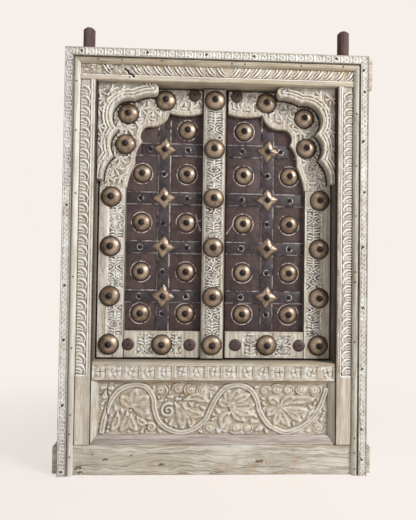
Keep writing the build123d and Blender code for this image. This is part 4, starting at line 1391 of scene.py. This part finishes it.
def arch_rail(side, name, body):
    """The scalloped top of a leaf: palmettes between its bosses, and rows of short cuts down its foot."""
    node = name + "_arch_rail"
    low, high = span(node)
    stile_low, stile_high = span(name + "_carved_stile")
    panel = stile_high[0] if side < 0 else stile_low[0]
    inner = high[0] if side < 0 else low[0]
    outer = low[0] if side < 0 else high[0]
    tall = high[2] - low[2]

    def place(across, down):
        return (panel + across * (inner - panel), high[2] - down * tall)

    edge = scalloped(ARCH_LOBES, place)
    outline = edge + straight(edge[-1], (outer, low[2]), (outer, high[2]), (inner, high[2]), edge[0])
    relief = front_of(node)
    far = relief.near(edge, 60.0)
    relief.height -= 1.0 * np.clip(1 - np.abs(far - 5.0) / 2.4, 0, 1)
    relief.height -= 2.6 * np.clip((far - 9.0) / 4.0, 0, 1)
    fill_with_leaves(relief, outline, far, 10.0, 29.0, 80 + side, (outer, high[2]))
    for row in (-0.02, -0.12):
        for share in np.linspace(0, 1, 12):
            cut = np.array(place(row - 0.14 * share, 0.66 + 0.28 * share))
            relief.ridge([cut, cut + (side * 4.5, -4.0)], [1.5, 0.9], 0.0, -PALMETTE_DEPTH, 2.0)
    # Painted shade under the spandrel's edge and along the rail's outer, top and inner edges
    relief.dark_marks(spandrel_edge(side, name + "_spandrel"), 3.6)
    relief.dark_marks([(outer, low[2]), (outer, high[2])], 2.6)
    relief.dark_marks([(outer, high[2]), (inner, high[2])], 2.6)
    relief.dark_marks([(inner, low[2]), (inner, high[2])], 3.4)
    relief.roughen(0.35, 10, 81 + side)
    relief.roughen(0.22, 3, 84 + side)
    stock = Stock()
    stock.cut_out(relief, outline, low[1] + 0.3, high[1], 2.2)
    stock.piece("carved_" + node, body, "limewashed_wood", wood["arch_wood"], [node])


def boss_heights(name, column, reach):
    """Heights of the bosses whose middles lie near a column of X."""
    middles = [(low + high) / 2 for low, high in loose_parts(name + "_bosses")]
    return sorted(m[2] for m in middles if abs(m[0] - column) < reach)


def boss_columns(name, row, reach):
    """X of the bosses and discs whose middles lie near a height."""
    parts = loose_parts(name + "_bosses") + loose_parts(name + "_iron_discs")
    middles = [(low + high) / 2 for low, high in parts]
    return sorted(m[0] for m in middles if abs(m[2] - row) < reach)


def carved_upright(node, name, body, border, inset, material, seed, brown=0.0):
    """An upright of a leaf: mirrored leaves between its bosses, and a raised ring round each boss."""
    low, high = span(node)
    relief = front_of(node)
    column = (low[0] + high[0]) / 2
    clear, shortest, depth = BOSS_CLEAR, 52, 3.0
    stops = [low[2] - clear] + boss_heights(name, column, BOSS_NEAR) + [high[2] + clear]
    field = (low[0] + border + inset[0], high[0] - border - inset[1])
    for start, end in zip(stops, stops[1:]):
        if end - start > shortest:
            corner_low, corner_high = (field[0], start + clear), (field[1], end - clear)
            leafy_field(relief, corner_low, corner_high, depth, seed + int(start))
    for z in stops[1:-1]:
        relief.ridge(oval((column, z), BOSS_RING, BOSS_RING, 0, 360, 40), 1.5, 0.4, -1.0, 2.0)
    for x in (low[0] + border * 0.5, high[0] - border * 0.5):
        relief.groove([(x, low[2]), (x, high[2])], 1.1, 0.9)
    # Painted shade along both long edges
    for x in (low[0], high[0]):
        relief.dark_marks([(x, low[2]), (x, high[2])], 2.4)
    # A broad band of painted shade down the left edge
    if brown:
        relief.dark_marks([(low[0], low[2]), (low[0], high[2])], brown, 0.5)
    relief.roughen(0.4, 12, seed)
    relief.roughen(0.22, 3, seed + 1)
    carve(node, relief, rectangle(node), 0.3, 1.6, body, "limewashed_wood", material)


def carved_bottom(node, name, body, seed):
    """The bottom rail of a leaf: fields of mirrored leaves between its bosses and discs."""
    low, high = span(node)
    relief = front_of(node)
    row = (low[2] + high[2]) / 2
    border = 6.0
    clear, end_clear, shortest, depth = BOSS_CLEAR, 16, 46, 2.4
    columns = [x for x in boss_columns(name, row, BOSS_NEAR) if low[0] < x < high[0]]
    stops = [low[0] - end_clear] + columns + [high[0] + end_clear]
    for start, end in zip(stops, stops[1:]):
        if end - start > shortest:
            corner_low, corner_high = (start + clear, low[2] + border), (end - clear, high[2] - border)
            leafy_field(relief, corner_low, corner_high, depth, seed + int(start))
    for z in (low[2] + 4.0, high[2] - 4.0):
        relief.groove([(low[0], z), (high[0], z)], 1.1, 0.9)
    # Painted shade along the bottom edge
    relief.dark_marks([(low[0], low[2]), (high[0], low[2])], 2.4)
    relief.roughen(0.4, 12, seed)
    relief.roughen(0.22, 3, seed + 1)
    carve(node, relief, rectangle(node), 0.3, 1.4, body, "limewashed_wood", wood["leaf_wood"])


# Studs: one tree for bosses, nails, flowers and discs


def stud_tree():
    """Studs on points: a cone bent to a rounded, petalled or flat head, each turned a little."""
    tree = bpy.data.node_groups.new("studs", "GeometryNodeTree")
    face = tree.interface
    face.new_socket("Points", in_out="INPUT", socket_type="NodeSocketGeometry")
    for name in ("Rise", "Bulge", "Edge", "Corner", "Notch", "Dent"):
        face.new_socket(name, in_out="INPUT", socket_type="NodeSocketFloat")
    for name in ("Sides", "Rings", "Seed"):
        face.new_socket(name, in_out="INPUT", socket_type="NodeSocketInt")
    face.new_socket("Finish", in_out="INPUT", socket_type="NodeSocketMaterial")
    face.new_socket("Studs", in_out="OUTPUT", socket_type="NodeSocketGeometry")
    start = Sock(tree)
    given = tree.nodes.new("NodeGroupInput")
    named = {socket.name: Sock(tree, socket) for socket in given.outputs if socket.name}
    cone = start.add(
        "GeometryNodeMeshCone",
        {"fill_type": "NGON"},
        {
            "Vertices": named["Sides"],
            "Side Segments": named["Rings"],
            "Fill Segments": 1,
            "Radius Top": 0.0,
            "Radius Bottom": 1.0,
            "Depth": 1.0,
        },
    )
    place = start.add("GeometryNodeInputPosition")
    x, y = place.axis(0), place.axis(1)
    reach = (x * x + y * y).math("SQRT").math("MAXIMUM", 0.0001)
    marked = start.add(
        "GeometryNodeStoreNamedAttribute",
        {"data_type": "FLOAT", "domain": "POINT"},
        {"Geometry": cone, "Name": "radial", "Value": reach},
    )
    corner = named["Corner"]
    pull = (abs(x / reach) ** corner + abs(y / reach) ** corner) ** (-1.0 / corner)
    pull = pull * (1 - (abs(x * y) * 2.0 / (reach * reach)) ** 8.0 * named["Notch"])
    rise = (1 - reach.math("MINIMUM", 1.0) ** named["Bulge"]).math("MAXIMUM", 0.0) ** named["Edge"]
    dented = 1 + (place.noise(2.6, 2.0, 0.5) - 0.5) * named["Dent"]
    spot = start.add(
        "ShaderNodeCombineXYZ",
        None,
        {0: x * pull * dented, 1: y * pull * dented, 2: rise * named["Rise"] * dented},
    )
    shaped = start.add("GeometryNodeSetPosition", None, {"Geometry": marked, "Position": spot})
    size = start.add("GeometryNodeInputNamedAttribute", {"data_type": "FLOAT"}, {"Name": "reach"})
    facing = (math.radians(90), 0.0, 0.0)
    set_out = start.add(
        "GeometryNodeInstanceOnPoints",
        None,
        {"Points": named["Points"], "Instance": shaped, "Rotation": facing, "Scale": size},
    )
    wobble = start.add(
        "FunctionNodeRandomValue",
        {"data_type": "FLOAT_VECTOR"},
        {0: (-0.05, -0.05, -0.12), 1: (0.05, 0.05, 0.12), "Seed": named["Seed"]},
    )
    turned = start.add("GeometryNodeRotateInstances", None, {"Instances": set_out, "Rotation": wobble})
    real = start.add("GeometryNodeRealizeInstances", None, {"Geometry": turned})
    painted = start.add("GeometryNodeSetMaterial", None, {"Geometry": real, "Material": named["Finish"]})
    end = tree.nodes.new("NodeGroupOutput")
    tree.links.new(painted.socket, end.inputs["Studs"])
    return tree


STUDS = stud_tree()


def studs(name, body, slot, material, places, nodes, sharp=SHARP_ANGLE, **sizes):
    """A plain mesh of studs on places of X, Y, Z and radius, in millimetres."""
    points = bpy.data.meshes.new(name + "_points")
    points.from_pydata([Vector(place[:3]) * MM for place in places], [], [])
    points.attributes.new("reach", "FLOAT", "POINT").data.foreach_set("value", [p[3] * MM for p in places])
    carrier = bpy.data.objects.new(name + "_carrier", points)
    bpy.context.scene.collection.objects.link(carrier)
    modifier = carrier.modifiers.new("studs", "NODES")
    modifier.node_group = STUDS
    given = {"Rise": 0.5, "Bulge": 2.0, "Edge": 0.7, "Corner": 2.0, "Notch": 0.0, "Dent": 0.06}
    given.update({"Sides": 20, "Rings": 6, "Seed": len(places), "Finish": material})
    given.update(sizes)
    for item in STUDS.interface.items_tree:
        if item.name in given:
            modifier[item.identifier] = given[item.name]
    shown = carrier.evaluated_get(bpy.context.evaluated_depsgraph_get())
    mesh = bpy.data.meshes.new_from_object(shown)
    carrier.modifiers.remove(modifier)
    bpy.data.objects.remove(carrier)
    return finished(mesh, name, body, slot, material, nodes, sharp)


def stud_places(node, grow=1.0):
    """Where the solids of a node of studs sit: middle, depth of the seat, and radius."""
    places = []
    for low, high in loose_parts(node):
        middle = (low + high) / 2
        radius = max(high[0] - low[0], high[2] - low[2]) / 2 * grow
        places.append((middle[0], high[1], middle[2], radius))
    return places


# Studs of a leaf: node, name of the piece, slot, finish, growth over the node, and the shape of the head
LEAF_STUDS = (
    ("bosses", "brass_bosses", "brass", brass, 1.07,
     {"Rise": 0.45, "Bulge": 2.2, "Edge": 0.9, "Sides": 32, "Rings": 12, "Dent": 0.05, "sharp": 60}),
    ("boss_nails", "forged_boss_nails", "black_iron", nail_iron, 1.05,
     {"Rise": 0.8, "Bulge": 2.2, "Edge": 0.8, "Sides": 10, "Rings": 4, "Dent": 0.2}),
    ("flowers", "brass_flowers", "brass", brass, 1.22,
     {"Rise": 0.24, "Bulge": 1.4, "Edge": 0.8, "Corner": 0.96, "Notch": 0.13,
      "Sides": 48, "Rings": 8, "Dent": 0.08}),
    ("strap_nails", "forged_strap_nails", "black_iron", nail_iron, 1.0,
     {"Rise": 0.65, "Bulge": 2.0, "Edge": 0.8, "Sides": 10, "Rings": 3, "Dent": 0.2}),
    ("iron_discs", "flat_discs", "black_iron", disc_iron, 1.15,
     {"Rise": 0.24, "Bulge": 5.0, "Edge": 0.8, "Sides": 24, "Rings": 6, "Dent": 0.08}),
)


def leaf(name, side):
    """Every piece of one leaf."""
    body = name + "_leaf"
    arch_rail(side, name, body)
    plain_outside = (14.0, -4.0) if side < 0 else (-4.0, 14.0)
    stile = name + "_carved_stile"
    stile_wood = wood["pale_leaf_wood" if side < 0 else "leaf_wood"]
    carved_upright(stile, name, body, 8.0, plain_outside, stile_wood, 91 + side)
    carved_bottom(name + "_bottom_rail", name, body, 97 + side)
    softened(name + "_pivot_stile", body, "peg_wood", wood["peg_wood"], 1.2)
    for piece in ("bottom_ledge", "middle_ledge", "top_ledge"):
        softened(f"{name}_{piece}", body, "dark_wood", wood["back_wood"], 2.0)
    board_finish, strap_finish = board_and_strap_finishes(name)
    for piece in ("outer_board", "inner_board"):
        softened(f"{name}_{piece}", body, "dark_wood", board_finish, 1.2)
    for piece in ("cross_straps", "upright_straps"):
        softened(f"{name}_{piece}", body, "strap_iron", strap_finish, 0.7)
    for node, piece, slot, finish, grow, shape in LEAF_STUDS:
        node = f"{name}_{node}"
        studs(f"{name}_{piece}", body, slot, finish, stud_places(node, grow), [node], **shape)


def board_and_strap_finishes(name):
    """Finishes of a leaf's planks and straps, laid out from where its studs and straps sit."""
    straps = loose_parts(name + "_cross_straps")
    rows = [(low[2] + high[2]) / 2 * MM for low, high in straps]
    half = (straps[0][1][2] - straps[0][0][2]) / 2 * MM
    up_low, up_high = span(name + "_upright_straps")
    upright = (up_low[0] + up_high[0]) / 2 * MM
    board = span(name + "_inner_board")[0][1]
    cells = [place for place in stud_places(name + "_bosses") if abs(place[1] - board) < 1]
    bosses = [(place[0] * MM, place[2] * MM) for place in cells]
    ring = cells[0][3] * MM + HALO_GAP
    boards = dark_board(name + "_boards", board * MM, bosses, ring, rows, half, upright, GOUGES[name])
    nails = [(place[0] * MM, place[2] * MM) for place in stud_places(name + "_strap_nails")]
    return boards, strap_iron(name + "_strap_iron", rows, half, upright, nails)


def meeting_tongue():
    """A dark tongue on the left leaf that closes most of the running gap beside the meeting batten."""
    low, high = span("left_inner_board")
    right_edge = span("right_inner_board")[0][0]
    clear, setback, edge = 0.7, 2.0, 0.3
    start = (high[0] - setback, low[1] + setback, low[2])
    end = (right_edge - clear, high[1] - setback, high[2])
    stock = Stock()
    stock.block(start, end, edge)
    stock.piece("meeting_tongue", "left_leaf", "dark_wood", wood["peg_wood"], [])


def frame_nails():
    """Iron nail heads in the strips, the beads, the side of the apron and the foot of the right jamb."""
    strip_seat, bead_seat, apron_seat = strip_low[1] + 3.3, bead_low[1] + 2.1, FACE_Y + 15
    strip_nails = (
        (-308, 947), (-161, 947), (-28, 946), (79, 946), (269, 947), (333, 922), (335, 873), (333, 758),
        (336, 642), (334, 516), (334, 378), (334, 240), (334, 104), (334, 37), (-335, 156), (-336, 12),
        (-335, 600), (-336, 420), (-336, 300),
    )
    bead_nails = (
        (-272, 929), (-219, 929), (-129, 929), (29, 928), (59, 928), (188, 928), (285, 929), (-319, 878),
        (-318, 767), (-317, 626), (-318, 440), (-318, 282), (-318, 135), (-319, 93), (-318, 43), (318, 821),
        (318, 701), (318, 587), (317, 459), (317, 436), (317, 300), (318, 84), (318, 51), (318, 15),
    )
    apron_nails = ((-256, 175), (-254, 146), (-256, 110))
    foot_nail = (288, 229)
    places = [(x, strip_seat, z, 3.3) for x, z in strip_nails]
    places += [(x, bead_seat, z, 3.2) for x, z in bead_nails]
    places += [(x, apron_seat, z, 2.2) for x, z in apron_nails]
    places.append((foot_nail[0], FACE_Y, foot_nail[1], 3.6))
    studs(
        "frame_nails", "frame", "black_iron", rusty_nail, places, [],
        Rise=0.92, Bulge=2.2, Edge=0.8, Sides=10, Rings=3, Dent=0.25,
    )


# Assembly

jamb(-1, "left_jamb", 24.0, 3)
jamb(1, "right_jamb", 18.5, 4)
head()
sill()
mid_rail()
apron()
edge_strips()
for place, finish in (("left", "strip_pale"), ("right", "bare_upright"), ("top", "bare_level")):
    softened(place + "_bead", "frame", "limewashed_wood", wood[finish], 0.6, 60)
# The left spandrel takes the paler finish as painted light; the right one, in shade, takes the arch wood
spandrel(-1, "left_spandrel", wood["lit_bracket_wood"])
spandrel(1, "right_spandrel", wood["arch_wood"])
leaf("left", -1)
leaf("right", 1)
# The batten gets a broad band of painted shade down its left side
carved_upright("meeting_batten", "left", "left_leaf", 7.0, (0.0, 0.0), wood["leaf_wood"], 101, 24.0)
meeting_tongue()
frame_nails()


# Floor, light and camera


def seen_directly(tree):
    """1 on rays from the camera, in a mirror or through glass, and 0 on the light that falls on things."""
    path = tree.tree.nodes.new("ShaderNodeLightPath")
    kinds = ("Is Camera Ray", "Is Glossy Ray", "Is Transmission Ray")
    rays = [Sock(tree.tree, path.outputs[kind]) for kind in kinds]
    return rays[0].math("MAXIMUM", rays[1]).math("MAXIMUM", rays[2])


def studio():
    """A pale floor and backdrop, a large soft lamp to the right and an even fill."""
    pale = srgb(*BACKDROP)
    floor_mesh = bpy.data.meshes.new("floor")
    far = FLOOR_REACH
    ring = [(-far, -far, 0), (far, -far, 0), (far, far, 0), (-far, far, 0)]
    floor_mesh.from_pydata(ring, [], [[0, 1, 2, 3]])
    floor = bpy.data.objects.new("floor", floor_mesh)
    bpy.context.scene.collection.objects.link(floor)
    material, tree, place = new_material("pale_floor")
    away = place.add("ShaderNodeVectorMath", {"operation": "LENGTH"}, {0: place}, 1)
    glow = tree.add("ShaderNodeEmission", None, {"Color": pale, "Strength": 1.0})
    matt = tree.add("ShaderNodeBsdfDiffuse", None, {"Color": srgb(*FLOOR)})
    share = seen_directly(tree) * (0.74 + away.between(0.35, 1.3) * 0.26)
    surface = tree.add("ShaderNodeMixShader", None, {0: share, 1: matt, 2: glow})
    tree.add("ShaderNodeOutputMaterial", None, {"Surface": surface})
    floor_mesh.materials.append(material)

    world = bpy.data.worlds.new("studio")
    world.use_nodes = True
    world.node_tree.nodes.clear()
    tree = Sock(world.node_tree)
    fill = tree.add("ShaderNodeBackground", None, {"Color": (1.0, 1.0, 1.0, 1.0), "Strength": FILL_LEVEL})
    back = tree.add("ShaderNodeBackground", None, {"Color": pale, "Strength": 1.0})
    both = tree.add("ShaderNodeMixShader", None, {0: seen_directly(tree), 1: fill, 2: back})
    tree.add("ShaderNodeOutputWorld", None, {"Surface": both})
    bpy.context.scene.world = world

    lamp = bpy.data.lights.new("key", "AREA")
    lamp.shape = "RECTANGLE"
    lamp.size, lamp.size_y = KEY_SIZE, KEY_SIZE
    lamp.energy = KEY_POWER
    lamp.color = KEY_TINT
    key = bpy.data.objects.new("key", lamp)
    bpy.context.scene.collection.objects.link(key)
    key.location = KEY_PLACE
    aim = Vector(KEY_AIM) - key.location
    key.rotation_euler = aim.to_track_quat("-Z", "Y").to_euler()


def camera():
    """The camera at the photograph's place and angle."""
    lens = bpy.data.cameras.new("camera")
    lens.lens = CAMERA_LENS
    view = bpy.data.objects.new("camera", lens)
    bpy.context.scene.collection.objects.link(view)
    turn = (
        Matrix.Rotation(math.radians(CAMERA_YAW), 3, "Z")
        @ Matrix.Rotation(math.radians(CAMERA_PITCH), 3, "X")
        @ Matrix.Rotation(math.radians(CAMERA_ROLL), 3, "Y")
    )
    right, forward, up = turn.col[0], turn.col[1], turn.col[2]
    basis = Matrix((right, up, -forward)).transposed()
    view.matrix_world = Matrix.Translation(CAMERA_PLACE) @ basis.to_4x4()
    bpy.context.scene.camera = view


studio()
camera()
bpy.context.scene.view_settings.view_transform = "Standard"
